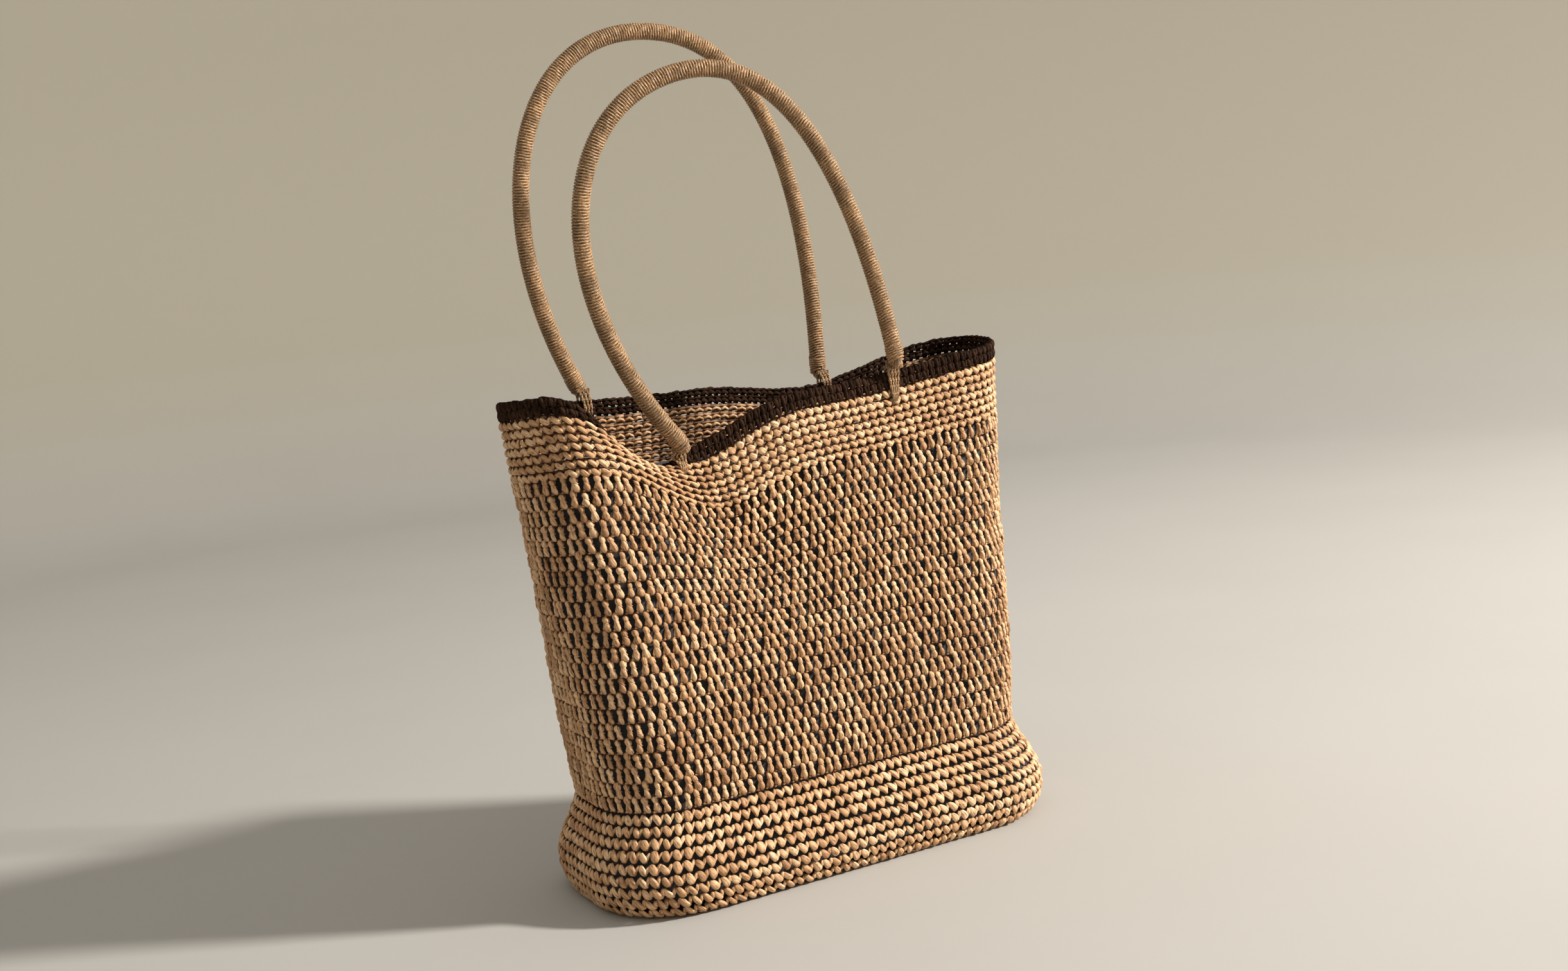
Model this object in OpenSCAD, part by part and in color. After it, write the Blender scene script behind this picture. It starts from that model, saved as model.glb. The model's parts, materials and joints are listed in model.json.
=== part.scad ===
// Crocheted beach bag with two cord-wrapped handles. Millimetres, +Z up.
// The bag stands on its foot with the wide front facing -Y.
// Places on the wall are given as (u, v): u runs once round the bag from the left
// side over the front, v runs from the foot (0) to the rim (1).

/* [Bag wall] */
// Height of the rim over the ground where it is neither sagging nor lifted
body_h = 380; // [340:5:430]
// Width of the foot where it bulges most
foot_w = 388; // [350:2:430]
// Depth of the foot where it bulges most
foot_d = 184; // [160:2:210]
// Width of the waist over the foot
waist_w = 358; // [330:2:400]
// Depth of the waist over the foot
waist_d = 146; // [120:2:170]
// Width of the mouth
mouth_w = 418; // [380:2:450]
// Depth of the mouth
mouth_d = 96; // [80:2:130]
// Corner radius of the foot, seen from above
foot_r = 66; // [50:1:75]
// Corner radius of the waist, seen from above
waist_r = 58; // [45:1:65]
// How far the wall tucks in under the foot
foot_tuck = 13; // [8:1:18]
// Height of the widest place of the foot
foot_bulge_z = 27; // [20:1:32]
// Height of the waist
waist_z = 78; // [70:1:90]

/* [Crochet bands] */
// Height of the close-worked band at the foot
lower_band_h = 75; // [60:1:90]
// Height of the close-worked band under the trim
upper_band_h = 46; // [38:1:56]
// Height of one dark trim round
trim_round_h = 6.5; // [5:0.5:8]
// Thickness of the close-worked bands and of the trim
band_t = 6.4; // [5:0.2:8]
// Thickness of the openwork
openwork_t = 5; // [4:0.2:6]
// Thickness of the base panel
base_t = 6.2; // [5:0.2:8]

/* [Lining] */
// How far the lining's hem lies below the upper band
hem_drop = 1.5; // [1:0.5:80]
// Thickness of the lining cloth
lining_t = 1.2; // [1:0.1:2]
// Clearance between the lining and the crochet
lining_gap = 0.4; // [0.3:0.1:1]

/* [Handles] */
// Radius of the rope core
core_r = 5.3; // [4.5:0.1:6]
// Thickness of the cord winding on the core
wrap_t = 1.4; // [1:0.1:1.8]
// Extra thickness of the whipping at each handle end
whipping_t = 0.4; // [0.3:0.1:0.8]
// Length of the whipping
whipping_l = 8; // [6:1:12]
// Distance from the pivot to the whipping
whipping_start = 4; // [3:0.5:6]
// Distance of a handle's end outside the rim
pivot_out = 10; // [9.5:0.5:13]
// Height of a handle's end over the rim
pivot_up = 8; // [7.5:0.5:11]
// Height of the front handle's crown over its ends
front_handle_h = 256; // [220:2:290]
// Height of the back handle's crown over its ends
back_handle_h = 274; // [240:2:310]
// Clearance round a handle's end
pivot_gap = 0.3; // [0.3:0.1:0.6]

/* [Lashing strands] */
// Radius of one strand
strand_r = 1.1; // [0.8:0.1:1.2]
// Spread of the strands where they leave the handle
strand_spread = 9; // [8:0.5:12]
// How far the outer strands reach down from the rim
strand_drop = 27; // [20:1:32]

/* [Hidden] */

// The wall's mid surface starts half a wall over the ground.
wall_z0 = band_t / 2;
wall_run = body_h - wall_z0;
// Two bands lie this far apart at their common edge.
seam_gap = 0.15;
seam_v = seam_gap / wall_run;
wrap_r = core_r + wrap_t;
whipping_r = wrap_r + whipping_t;
// Where the bands begin and end, as v
v_open = (lower_band_h - wall_z0) / wall_run;
v_upper = 1 - (2 * trim_round_h + upper_band_h) / wall_run;
v_trim = 1 - 2 * trim_round_h / wall_run;
v_edge = 1 - trim_round_h / wall_run;
// Where the handles stand on the rim, as u
u_front_left = 0.150;
u_front_right = 0.3475;
u_back_right = 0.6588;
u_back_left = 0.8842;
// Rings up the close-worked lower band and up the openwork, shared with the lining
lower_rings = 9;
open_rings = 9;
// Facets round the wall, round a handle and along a handle
wall_n = 60;
tube_n = 12;
arch_n = 20;
strand_n = 6;

raffia = [0.80, 0.62, 0.42];
raffia_dark = [0.17, 0.11, 0.08];
cord_tan = [0.72, 0.55, 0.37];
rope_grey = [0.85, 0.82, 0.75];
slate = [0.20, 0.19, 0.20];

// Soft folds of the wall: [centre u, width u, push [x, y, z], first v, slant].
// A fold grows from its first v to the rim, and its slant carries it along u below.
folds = [
    // The dip under the front handle's left end
    [0.160, 0.060, [4, 12, -38], 0.42, 0.10],
    // The sag across the front
    [0.284, 0.126, [0, 5, -17], 0.40, 0],
    // The column that stands out at the left side
    [0.072, 0.045, [0, -9, 6], 0.50, 0],
    // The dip under the back handle's right end
    [0.68, 0.08, [0, 4, -21], 0.55, 0],
    // The sag across the back
    [0.84, 0.10, [0, 0, -11], 0.55, 0],
    // The lift of the right corner
    [0.53, 0.06, [0, 0, 5], 0.60, 0]
];
// Where the rim rolls over inward: [centre u, width u, push at the rim, first v]
roll = [0.112, 0.034, [4, 15, -44], 0.86];

function clamp(x, low, high) = min(max(x, low), high);
function unit(v) = v / norm(v);
function ease(t) = let (k = clamp(t, 0, 1)) k * k * (3 - 2 * k);
function wrapped(d) = d - floor(d + 0.5);
function bell(u, centre, width) = exp(-pow(wrapped(u - centre) / width, 2));

// Half width, half depth and corner radius of the mid surface at height z
function section(z) =
    let (
        rise = clamp((z - waist_z) / (body_h - waist_z), 0, 1),
        bulge = 1 - ease((z - foot_bulge_z) / (waist_z - foot_bulge_z)),
        under = clamp((foot_bulge_z - z) / foot_bulge_z, 0, 1),
        tuck = foot_tuck * (1 - sqrt(1 - under * under)),
        a = (waist_w + (mouth_w - waist_w) * pow(rise, 0.9)
            + (foot_w - waist_w) * bulge) / 2 - tuck,
        b = (waist_d + (mouth_d - waist_d) * ease(rise)
            + (foot_d - waist_d) * bulge) / 2 - tuck
    )
    [a, b, min(b - 0.5, waist_r + (foot_r - waist_r) * bulge)];

// Point of a rounded rectangle at the share u of its length, from the left side's
// middle by way of the front
function quarter_point(s, sx, sy, r) =
    s < sy ? [-sx - r, -s]
    : s < sy + PI * r / 2 ?
        let (turn = (s - sy) / r * 180 / PI)
        [-sx - r * cos(turn), -sy - r * sin(turn)]
    : [-sx + s - sy - PI * r / 2, -sy - r];
function loop_point(u, a, b, r) =
    let (
        t = u - floor(u),
        sx = a - r,
        sy = b - r,
        quarter = sx + sy + PI * r / 2,
        s = t * 4 * quarter,
        k = floor(s / quarter),
        d = s - k * quarter
    )
    k == 0 ? quarter_point(d, sx, sy, r)
    : k == 1 ? let (p = quarter_point(quarter - d, sx, sy, r)) [-p.x, p.y]
    : k == 2 ? let (p = quarter_point(d, sx, sy, r)) [-p.x, -p.y]
    : let (p = quarter_point(quarter - d, sx, sy, r)) [p.x, -p.y];

function fold_push(f, u, v) =
    f[2] * bell(u - f[4] * (1 - v), f[0], f[1]) * ease((v - f[3]) / (1 - f[3]));
function roll_push(u, v) =
    roll[2] * bell(u, roll[0], roll[1])
        * pow(clamp((v - roll[3]) / (1 - roll[3]), 0, 1), 2);
function total(list, i = 0) = i == len(list) - 1 ? list[i] : list[i] + total(list, i + 1);

// The wall's mid surface, and its outward direction. inset moves it inward.
function wall_point(u, v, inset = 0) =
    let (
        z = wall_z0 + wall_run * v,
        size = section(z),
        p = loop_point(u, size[0] - inset, size[1] - inset, size[2] - inset)
    )
    [p.x, p.y, z] + total([for (f = folds) fold_push(f, u, v)]) + roll_push(u, v);
function wall_out(u, v) =
    let (
        e = 0.001,
        along = wall_point(u + e, v) - wall_point(u - e, v),
        up = wall_point(u, min(v + e, 1)) - wall_point(u, max(v - e, 0))
    )
    unit(cross(along, up));

// Triangles of a grid of rings that starts at vertex first. Outward is the side
// from which u runs to the right when v runs up.
function ring_faces(first, rings, n, outward) = [
    for (j = [0:rings - 2], i = [0:n - 1])
        let (
            p = first + j * n + i,
            q = first + j * n + (i + 1) % n
        )
        each outward ? [[p, p + n, q + n], [p, q + n, q]]
            : [[p, q + n, p + n], [p, q, q + n]]
];
// Triangles that join two rings of n vertices edge to edge
function edge_faces(a, b, n, up) = [
    for (i = [0:n - 1])
        let (j = (i + 1) % n)
        each up ? [[a + i, b + i, b + j], [a + i, b + j, a + j]]
            : [[a + i, b + j, b + i], [a + i, a + j, b + j]]
];

// A closed band of wall from v0 to v1, of thickness t
function steps_up(v0, v1, rings) = [for (j = [0:rings - 1]) v0 + (v1 - v0) * j / (rings - 1)];
module wall_band(v0, v1, rings, t) {
    steps = steps_up(v0, v1, rings);
    n = wall_n;
    outer = [
        for (v = steps, i = [0:n - 1]) wall_point(i / n, v) + wall_out(i / n, v) * t / 2
    ];
    inner = [
        for (v = steps, i = [0:n - 1]) wall_point(i / n, v) - wall_out(i / n, v) * t / 2
    ];
    m = rings * n;
    polyhedron(concat(outer, inner), concat(
        ring_faces(0, rings, n, true),
        ring_faces(m, rings, n, false),
        edge_faces(0, m, n, false),
        edge_faces(m - n, 2 * m - n, n, true)
    ));
}

// A solid tube through points, with a radius for each. side is square to the path.
function tube_ring(points, k, r, n, side) =
    let (
        last = len(points) - 1,
        t = unit(points[min(k + 1, last)] - points[max(k - 1, 0)]),
        c = unit(side - t * (side * t)),
        b = cross(t, c)
    )
    [for (i = [0:n - 1]) points[k] + r * (cos(360 * i / n) * c + sin(360 * i / n) * b)];
function tube_points(points, radii, n, side) =
    [for (k = [0:len(points) - 1]) each tube_ring(points, k, radii[k], n, side)];
module solid_tube(points, radii, n, side) {
    rings = len(points);
    polyhedron(tube_points(points, radii, n, side), concat(
        ring_faces(0, rings, n, true),
        [[for (i = [0:n - 1]) i]],
        [[for (i = [n - 1:-1:0]) (rings - 1) * n + i]]
    ));
}
module hollow_tube(points, r_out, r_in, n, side) {
    rings = len(points);
    m = rings * n;
    polyhedron(concat(
        tube_points(points, [for (p = points) r_out], n, side),
        tube_points(points, [for (p = points) r_in], n, side)
    ), concat(
        ring_faces(0, rings, n, true),
        ring_faces(m, rings, n, false),
        edge_faces(0, m, n, false),
        edge_faces(m - n, 2 * m - n, n, true)
    ));
}

// A handle's pivot over the rim at u. side is -1 at the front and 1 at the back.
function pivot(u, side) = wall_point(u, 1) + [0, side * pivot_out, pivot_up];
front_pivots = [pivot(u_front_left, -1), pivot(u_front_right, -1)];
back_pivots = [pivot(u_back_left, 1), pivot(u_back_right, 1)];

// A handle is two smooth curves that meet at its crown, in the upright plane
// through its pivots. Its shape is [crown's distance along, crown's reach left and
// right, left leg's pull [x, z], right leg's pull [x, z]].
front_shape = [84, 95, 93, [-64, 138], [12, 140]];
back_shape = [78, 111, 109, [-71, 134], [1, 133]];
function bezier(p, t) =
    pow(1 - t, 3) * p[0] + 3 * pow(1 - t, 2) * t * p[1] + 3 * (1 - t) * t * t * p[2]
        + pow(t, 3) * p[3];
function arch_flat(span, h, shape) =
    let (
        crown = [shape[0], h],
        left = [[0, 0], shape[3], crown - [shape[1], 0], crown],
        right = [crown, crown + [shape[2], 0], [span, 0] + shape[4], [span, 0]]
    )
    concat(
        [for (k = [0:arch_n]) bezier(left, k / arch_n)],
        [for (k = [1:arch_n]) bezier(right, k / arch_n)]
    );
function along_axis(pivots) = unit(pivots[1] - pivots[0]);
function arch_up(pivots) =
    let (a = along_axis(pivots))
    unit([0, 0, 1] - a * a.z);
function arch_normal(pivots) = cross(along_axis(pivots), arch_up(pivots));
function arch(pivots, h, shape) = [
    for (p = arch_flat(norm(pivots[1] - pivots[0]), h, shape))
        pivots[0] + p.x * along_axis(pivots) + p.y * arch_up(pivots)
];
front_path = arch(front_pivots, front_handle_h, front_shape);
back_path = arch(back_pivots, back_handle_h, back_shape);

// The core runs on past each pivot in a round end.
module handle_core(path, normal) {
    last = len(path) - 1;
    start = unit(path[1] - path[0]);
    end = unit(path[last] - path[last - 1]);
    cap = [80, 55, 28];
    points = concat(
        [for (w = cap) path[0] - start * core_r * sin(w)],
        path,
        [for (k = [2:-1:0]) path[last] + end * core_r * sin(cap[k])]
    );
    radii = concat(
        [for (w = cap) core_r * cos(w)],
        [for (p = path) core_r],
        [for (k = [2:-1:0]) core_r * cos(cap[k])]
    );
    solid_tube(points, radii, tube_n, normal);
}
// A short band of cord over the winding, near one end of a handle
module whipping(from, to, normal) {
    way = unit(to - from);
    stops = [for (k = [0:2]) from + way * (whipping_start + whipping_l * k / 2)];
    hollow_tube(stops, whipping_r, wrap_r, tube_n, normal);
}
module whippings(path, normal) {
    last = len(path) - 1;
    whipping(path[0], path[1], normal);
    whipping(path[last], path[last - 1], normal);
}

// The strands that lash a handle's end to the rim. Each starts beside the round
// end, on the bag's side, runs over the rim and ends inside the wall.
cup_r = wrap_r + pivot_gap + strand_r + 0.05;
function beside(u, side, dx, turn) =
    pivot(u, side) + [dx, -side * cup_r * cos(turn), -cup_r * sin(turn)];
function on_wall(u, drop, dx, lift) =
    let (v = 1 - drop / wall_run, w = u + dx / (2 * (mouth_w + mouth_d)))
    wall_point(w, v) + wall_out(w, v) * lift;
function outer_strand(u, side, dx) =
    let (skim = band_t / 2 + strand_r, go = -side * dx)
    [
        beside(u, side, dx, -8), beside(u, side, dx, 18), beside(u, side, dx, 42),
        on_wall(u, 2, go, skim), on_wall(u, strand_drop * 0.4, go * 0.75, skim),
        on_wall(u, strand_drop * 0.75, go * 0.45, skim),
        on_wall(u, strand_drop, go * 0.3, 0)
    ];
function inner_strand(u, side, dx) =
    let (skim = -band_t / 2 - strand_r, go = -side * dx)
    [
        beside(u, side, dx, -6), beside(u, side, dx, 10),
        wall_point(u, 1) + [dx, -side * 1.2, 4.2],
        on_wall(u, 1.5, go, skim), on_wall(u, strand_drop * 0.35, go * 0.8, skim),
        on_wall(u, strand_drop * 0.5, go * 0.6, 0)
    ];
module strand(points) {
    solid_tube(points, [for (p = points) strand_r], strand_n, [1, 0, 0]);
}
module lashing(u, side) {
    color(cord_tan) {
        for (k = [-1.5:1:1.5]) strand(outer_strand(u, side, k * strand_spread / 3));
        for (k = [-1:1]) strand(inner_strand(u, side, k * strand_spread / 3));
    }
}

module base_panel() {
    size = section(wall_z0);
    color(raffia)
        linear_extrude(base_t)
            polygon([
                for (i = [0:wall_n - 1]) loop_point(i / wall_n, size[0], size[1], size[2])
            ]);
}
module lower_band() {
    color(raffia) wall_band(0, v_open, lower_rings, band_t);
}
module openwork_wall() {
    color(raffia) wall_band(v_open + seam_v, v_upper, open_rings, openwork_t);
}
module upper_band() {
    color(raffia) wall_band(v_upper + seam_v, v_trim, 7, band_t);
}
module trim_first_round() {
    color(raffia_dark) wall_band(v_trim + seam_v, v_edge, 2, band_t);
}
module trim_edge_round() {
    color(raffia_dark) wall_band(v_edge + seam_v, 1, 2, band_t);
}

// The lining is a pouch that stands on the base panel inside the wall. Above its
// bottom edge it has the wall's own rings, so that it keeps its clearance.
function lining_ring(v, depth) =
    [for (i = [0:wall_n - 1]) wall_point(i / wall_n, v) - wall_out(i / wall_n, v) * depth];
function lining_foot(z, depth) =
    [for (i = [0:wall_n - 1])
        let (p = wall_point(i / wall_n, (z - wall_z0) / wall_run, depth)) [p.x, p.y, z]];
module lining() {
    inset = band_t / 2 + lining_gap;
    // The bottom edge turns in a little further than the wall beside it.
    turn_in = 2;
    floor_z = base_t + lining_gap;
    v_hem = v_upper - hem_drop / wall_run;
    rise = concat(
        [for (v = steps_up(0, v_open, lower_rings)) if (v * wall_run > floor_z) v],
        [for (v = steps_up(v_open, v_upper, open_rings)) if (v > v_open && v < v_hem - seam_v) v],
        [v_hem]
    );
    levels = len(rise) + 1;
    n = wall_n;
    m = levels * n;
    outer = concat(
        lining_foot(floor_z, inset + turn_in),
        [for (v = rise) each lining_ring(v, inset)]
    );
    inner = concat(
        lining_foot(floor_z + lining_t, inset + turn_in + lining_t),
        [for (v = rise) each lining_ring(v, inset + lining_t)]
    );
    color(slate)
        polyhedron(concat(outer, inner, [[0, 0, floor_z], [0, 0, floor_z + lining_t]]), concat(
            ring_faces(0, levels, n, true),
            ring_faces(m, levels, n, false),
            edge_faces(m - n, 2 * m - n, n, true),
            [for (i = [0:n - 1]) [i, (i + 1) % n, 2 * m]],
            [for (i = [0:n - 1]) [m + (i + 1) % n, m + i, 2 * m + 1]]
        ));
}

module front_handle_core() {
    color(rope_grey) handle_core(front_path, arch_normal(front_pivots));
}
module front_handle_wrap() {
    color(cord_tan)
        hollow_tube(front_path, wrap_r, core_r, tube_n, arch_normal(front_pivots));
}
module front_handle_whippings() {
    color(cord_tan) whippings(front_path, arch_normal(front_pivots));
}
module back_handle_core() {
    color(rope_grey) handle_core(back_path, arch_normal(back_pivots));
}
module back_handle_wrap() {
    color(cord_tan)
        hollow_tube(back_path, wrap_r, core_r, tube_n, arch_normal(back_pivots));
}
module back_handle_whippings() {
    color(cord_tan) whippings(back_path, arch_normal(back_pivots));
}
module front_left_lashing() {
    lashing(u_front_left, -1);
}
module front_right_lashing() {
    lashing(u_front_right, -1);
}
module back_left_lashing() {
    lashing(u_back_left, 1);
}
module back_right_lashing() {
    lashing(u_back_right, 1);
}

base_panel();
lower_band();
openwork_wall();
upper_band();
trim_first_round();
trim_edge_round();
lining();
front_handle_core();
front_handle_wrap();
front_handle_whippings();
back_handle_core();
back_handle_wrap();
back_handle_whippings();
front_left_lashing();
front_right_lashing();
back_left_lashing();
back_right_lashing();
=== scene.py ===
"""Crocheted raffia beach bag.

Works the bag's rounds of crochet stitches, sews in its lining, winds and lashes its two
rope handles, and sets it on a plain pale floor. Metres, +Z up, the wide front to -Y.
A place on the wall is (u, v): u runs once round the bag from the left side over the
front, and v runs from the foot (0) to the rim (1).
"""

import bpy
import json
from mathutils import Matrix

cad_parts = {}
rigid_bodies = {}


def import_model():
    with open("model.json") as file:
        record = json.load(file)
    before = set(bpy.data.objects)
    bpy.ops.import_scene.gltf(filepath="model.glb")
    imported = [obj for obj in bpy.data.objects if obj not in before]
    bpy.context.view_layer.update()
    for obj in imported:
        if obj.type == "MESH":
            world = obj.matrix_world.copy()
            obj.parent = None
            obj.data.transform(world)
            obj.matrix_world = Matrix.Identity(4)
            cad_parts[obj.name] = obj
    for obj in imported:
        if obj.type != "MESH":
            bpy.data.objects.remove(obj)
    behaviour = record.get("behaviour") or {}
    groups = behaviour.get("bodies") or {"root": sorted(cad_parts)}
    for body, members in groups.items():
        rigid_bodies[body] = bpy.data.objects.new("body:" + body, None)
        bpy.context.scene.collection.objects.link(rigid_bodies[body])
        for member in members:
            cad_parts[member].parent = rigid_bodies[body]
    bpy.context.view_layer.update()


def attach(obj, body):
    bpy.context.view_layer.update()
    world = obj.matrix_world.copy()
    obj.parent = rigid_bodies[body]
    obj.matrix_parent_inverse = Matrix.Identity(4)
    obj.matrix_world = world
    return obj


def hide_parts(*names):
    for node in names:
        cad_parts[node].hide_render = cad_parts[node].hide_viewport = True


bl_info = {
    "name": "Crocheted Beach Bag",
    "version": (1, 0, 0),
    "blender": (4, 5, 0),
    "location": "View3D > Sidebar > Beach Bag",
    "description": "Works a crocheted beach bag with cord-wound rope handles",
    "category": "Add Mesh",
}

import json
import math

import bmesh
import bpy
import numpy as np
from bpy.props import (
    FloatProperty,
    FloatVectorProperty,
    IntProperty,
    PointerProperty,
)
from mathutils import Matrix, Vector

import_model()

# Soft folds of the wall: centre u, width u, push at the rim, first v, slant.
# A fold grows from its first v to the rim, and its slant carries it along u below.
FOLDS = (
    # The dip under the front handle's left end
    (0.160, 0.060, (0.004, 0.012, -0.038), 0.42, 0.10),
    # The sag across the front
    (0.284, 0.126, (0.0, 0.005, -0.017), 0.40, 0.0),
    # The column that stands out at the left side
    (0.072, 0.045, (0.0, -0.009, 0.006), 0.50, 0.0),
    # The dip under the back handle's right end
    (0.68, 0.08, (0.0, 0.004, -0.021), 0.55, 0.0),
    # The sag across the back
    (0.84, 0.10, (0.0, 0.0, -0.011), 0.55, 0.0),
    # The lift of the right corner
    (0.53, 0.06, (0.0, 0.0, 0.005), 0.60, 0.0),
)
# Where the rim rolls over inward: centre u, width u, push at the rim, first v
ROLL = (0.112, 0.034, (0.004, 0.015, -0.044), 0.86)
# Where the handles stand on the rim, as u, and which side of the bag that is
ENDS = {
    "front_left": (0.150, -1),
    "front_right": (0.3475, -1),
    "back_right": (0.6588, 1),
    "back_left": (0.8842, 1),
}
# A handle's shape: the crown's distance along, its reach to the left and the right,
# and the pull of the left and the right leg, all in metres
HANDLE_SHAPES = {
    "front": (0.084, 0.095, 0.093, (-0.064, 0.138), (0.012, 0.140)),
    "back": (0.078, 0.111, 0.109, (-0.071, 0.134), (0.001, 0.133)),
}
# The guide reaches past the seam and the rim by this share, for stitches that overhang.
GUIDE_MARGIN = 0.05
# The round of the flat fabric in which stitches are shaped, before it is wrapped
FLAT_ROUND = 0.96
# What a stitch is shaped for: the width of every kind, and the height of each
STITCH_WIDTH = 0.008
CLOSE_HEIGHT, TALL_HEIGHT, DENSE_HEIGHT, PLAIN_HEIGHT = 0.0083, 0.0113, 0.0070, 0.0064
# No stitch reaches lower than this.
LOWEST = 0.0002


# ---------------------------------------------------------------- sizes


def length(name, description, default, low=0.0, high=1.0):
    return FloatProperty(
        name=name,
        description=description,
        default=default,
        min=low,
        max=high,
        subtype="DISTANCE",
        unit="LENGTH",
    )


def colour(name, description, default):
    return FloatVectorProperty(
        name=name,
        description=description,
        default=default,
        size=3,
        min=0.0,
        max=1.0,
        subtype="COLOR",
    )


class BagWallSettings(bpy.types.PropertyGroup):
    body_height: length("Height", "Rim over the ground, where it doesn't sag", 0.380)
    foot_width: length("Foot width", "Width where the foot bulges most", 0.388)
    foot_depth: length("Foot depth", "Depth where the foot bulges most", 0.184)
    waist_width: length("Waist width", "Width of the waist over the foot", 0.358)
    waist_depth: length("Waist depth", "Depth of the waist over the foot", 0.146)
    mouth_width: length("Mouth width", "Width of the mouth", 0.418)
    mouth_depth: length("Mouth depth", "Depth of the mouth", 0.096)
    foot_radius: length("Foot corner", "Corner radius of the foot from above", 0.066)
    waist_radius: length("Waist corner", "Corner radius of the waist", 0.058)
    foot_tuck: length("Foot tuck", "How far the wall tucks in under the foot", 0.013)
    bulge_height: length("Bulge height", "Height of the foot's widest place", 0.027)
    waist_height: length("Waist height", "Height of the waist", 0.078)
    start_height: length("Start", "Height where the wall's middle starts", 0.0032)
    lower_band: length("Lower band", "Height of the close band at the foot", 0.075)
    upper_band: length("Upper band", "Height of the close band at the mouth", 0.046)
    trim_round: length("Trim round", "Height of one dark trim round", 0.0065)


class BagCrochetSettings(bpy.types.PropertyGroup):
    round_stitches: IntProperty(
        name="Stitches a round",
        description="Stitches in one round of the wall",
        default=124,
        min=60,
        max=200,
    )
    trim_stitches: IntProperty(
        name="Stitches a trim round",
        description="Stitches in one round of the trim",
        default=158,
        min=60,
        max=240,
    )
    lower_rounds: IntProperty(
        name="Lower rounds", description="Close rounds at the foot", default=9, min=3
    )
    open_rounds: IntProperty(
        name="Open rounds", description="Tall rounds of the openwork", default=22, min=6
    )
    upper_rounds: IntProperty(
        name="Upper rounds", description="Close rounds at the mouth", default=7, min=3
    )
    base_rounds: IntProperty(
        name="Base rounds", description="Rounds of the base panel", default=10, min=4
    )
    tall_drift: FloatProperty(
        name="Tall drift",
        description="How far a tall round moves on, in stitches",
        default=0.33,
    )
    close_drift: FloatProperty(
        name="Close drift",
        description="How far a close round moves on, in stitches",
        default=-0.12,
    )
    seed: IntProperty(name="Seed", description="Seed of the hand's unevenness", default=7)
    honey: colour("Honey", "Raffia where it is darkest", (0.36, 0.19, 0.088))
    straw: colour("Straw", "Most of the raffia", (0.63, 0.385, 0.205))
    cream: colour("Cream", "Raffia where it is palest", (0.87, 0.645, 0.42))
    trim: colour("Trim", "Dark raffia of the trim", (0.030, 0.0155, 0.0095))


class BagHandleSettings(bpy.types.PropertyGroup):
    core_radius: length("Core radius", "Radius of the rope core", 0.0053)
    wrap_thickness: length("Wrap", "Thickness of the cord winding", 0.0014)
    turn_pitch: length("Turn pitch", "Distance from turn to turn", 0.0021)
    whipping_start: length("Whipping start", "From the end to the whipping", 0.004)
    whipping_length: length("Whipping length", "Length of the whipping", 0.008)
    pivot_out: length("End out", "Handle's end outside the rim", 0.010)
    pivot_up: length("End up", "Handle's end over the rim", 0.008)
    front_height: length("Front height", "Front crown over its ends", 0.256)
    back_height: length("Back height", "Back crown over its ends", 0.274)
    strand_radius: length("Strand radius", "Radius of a lashing strand", 0.0011)
    strand_spread: length("Strand spread", "Spread of a lashing's strands", 0.009)
    strand_drop: length("Strand drop", "How far the strands reach down", 0.027)
    cord: colour("Cord", "Twisted raffia cord", (0.35, 0.215, 0.11))
    rope: colour("Rope", "Rope of the core", (0.33, 0.21, 0.11))


class BagLiningSettings(bpy.types.PropertyGroup):
    hem_lap: length("Hem lap", "Hem over the upper band's lower edge", 0.003)
    thickness: length("Thickness", "Thickness of the cloth", 0.0012)
    inset: length("Inset", "From the wall's middle to the cloth", 0.0036)
    floor_height: length("Floor height", "Cloth over the ground", 0.0066)
    cloth: colour("Cloth", "Charcoal cotton", (0.034, 0.033, 0.038))


class BagStageSettings(bpy.types.PropertyGroup):
    floor: colour("Floor", "Pale floor", (0.42, 0.412, 0.40))
    backdrop: colour("Backdrop", "Pale surround that the floor curves up into", (0.40, 0.377, 0.32))
    key_power: FloatProperty(
        name="Key", description="Power of the key light", default=290.0, unit="POWER"
    )
    sky: FloatProperty(name="Sky", description="Strength of the soft surround", default=0.85)


# ---------------------------------------------------------------- shape of the wall


def ease(t):
    k = np.clip(t, 0, 1)
    return k * k * (3 - 2 * k)


def bell(u, centre, width):
    d = u - centre
    d = d - np.floor(d + 0.5)
    return np.exp(-((d / width) ** 2))


def wall_run(w):
    return w.body_height - w.start_height


def section(w, z):
    """Half width, half depth and corner radius of the wall's middle at height z."""
    rise = np.clip((z - w.waist_height) / (w.body_height - w.waist_height), 0, 1)
    bulge = 1 - ease((z - w.bulge_height) / (w.waist_height - w.bulge_height))
    under = np.clip((w.bulge_height - z) / w.bulge_height, 0, 1)
    tuck = w.foot_tuck * (1 - np.sqrt(1 - under * under))
    half_width = (
        w.waist_width
        + (w.mouth_width - w.waist_width) * rise**0.9
        + (w.foot_width - w.waist_width) * bulge
    ) / 2 - tuck
    half_depth = (
        w.waist_depth
        + (w.mouth_depth - w.waist_depth) * ease(rise)
        + (w.foot_depth - w.waist_depth) * bulge
    ) / 2 - tuck
    corner = w.waist_radius + (w.foot_radius - w.waist_radius) * bulge
    return half_width, half_depth, np.minimum(half_depth - 0.0005, corner)


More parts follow.
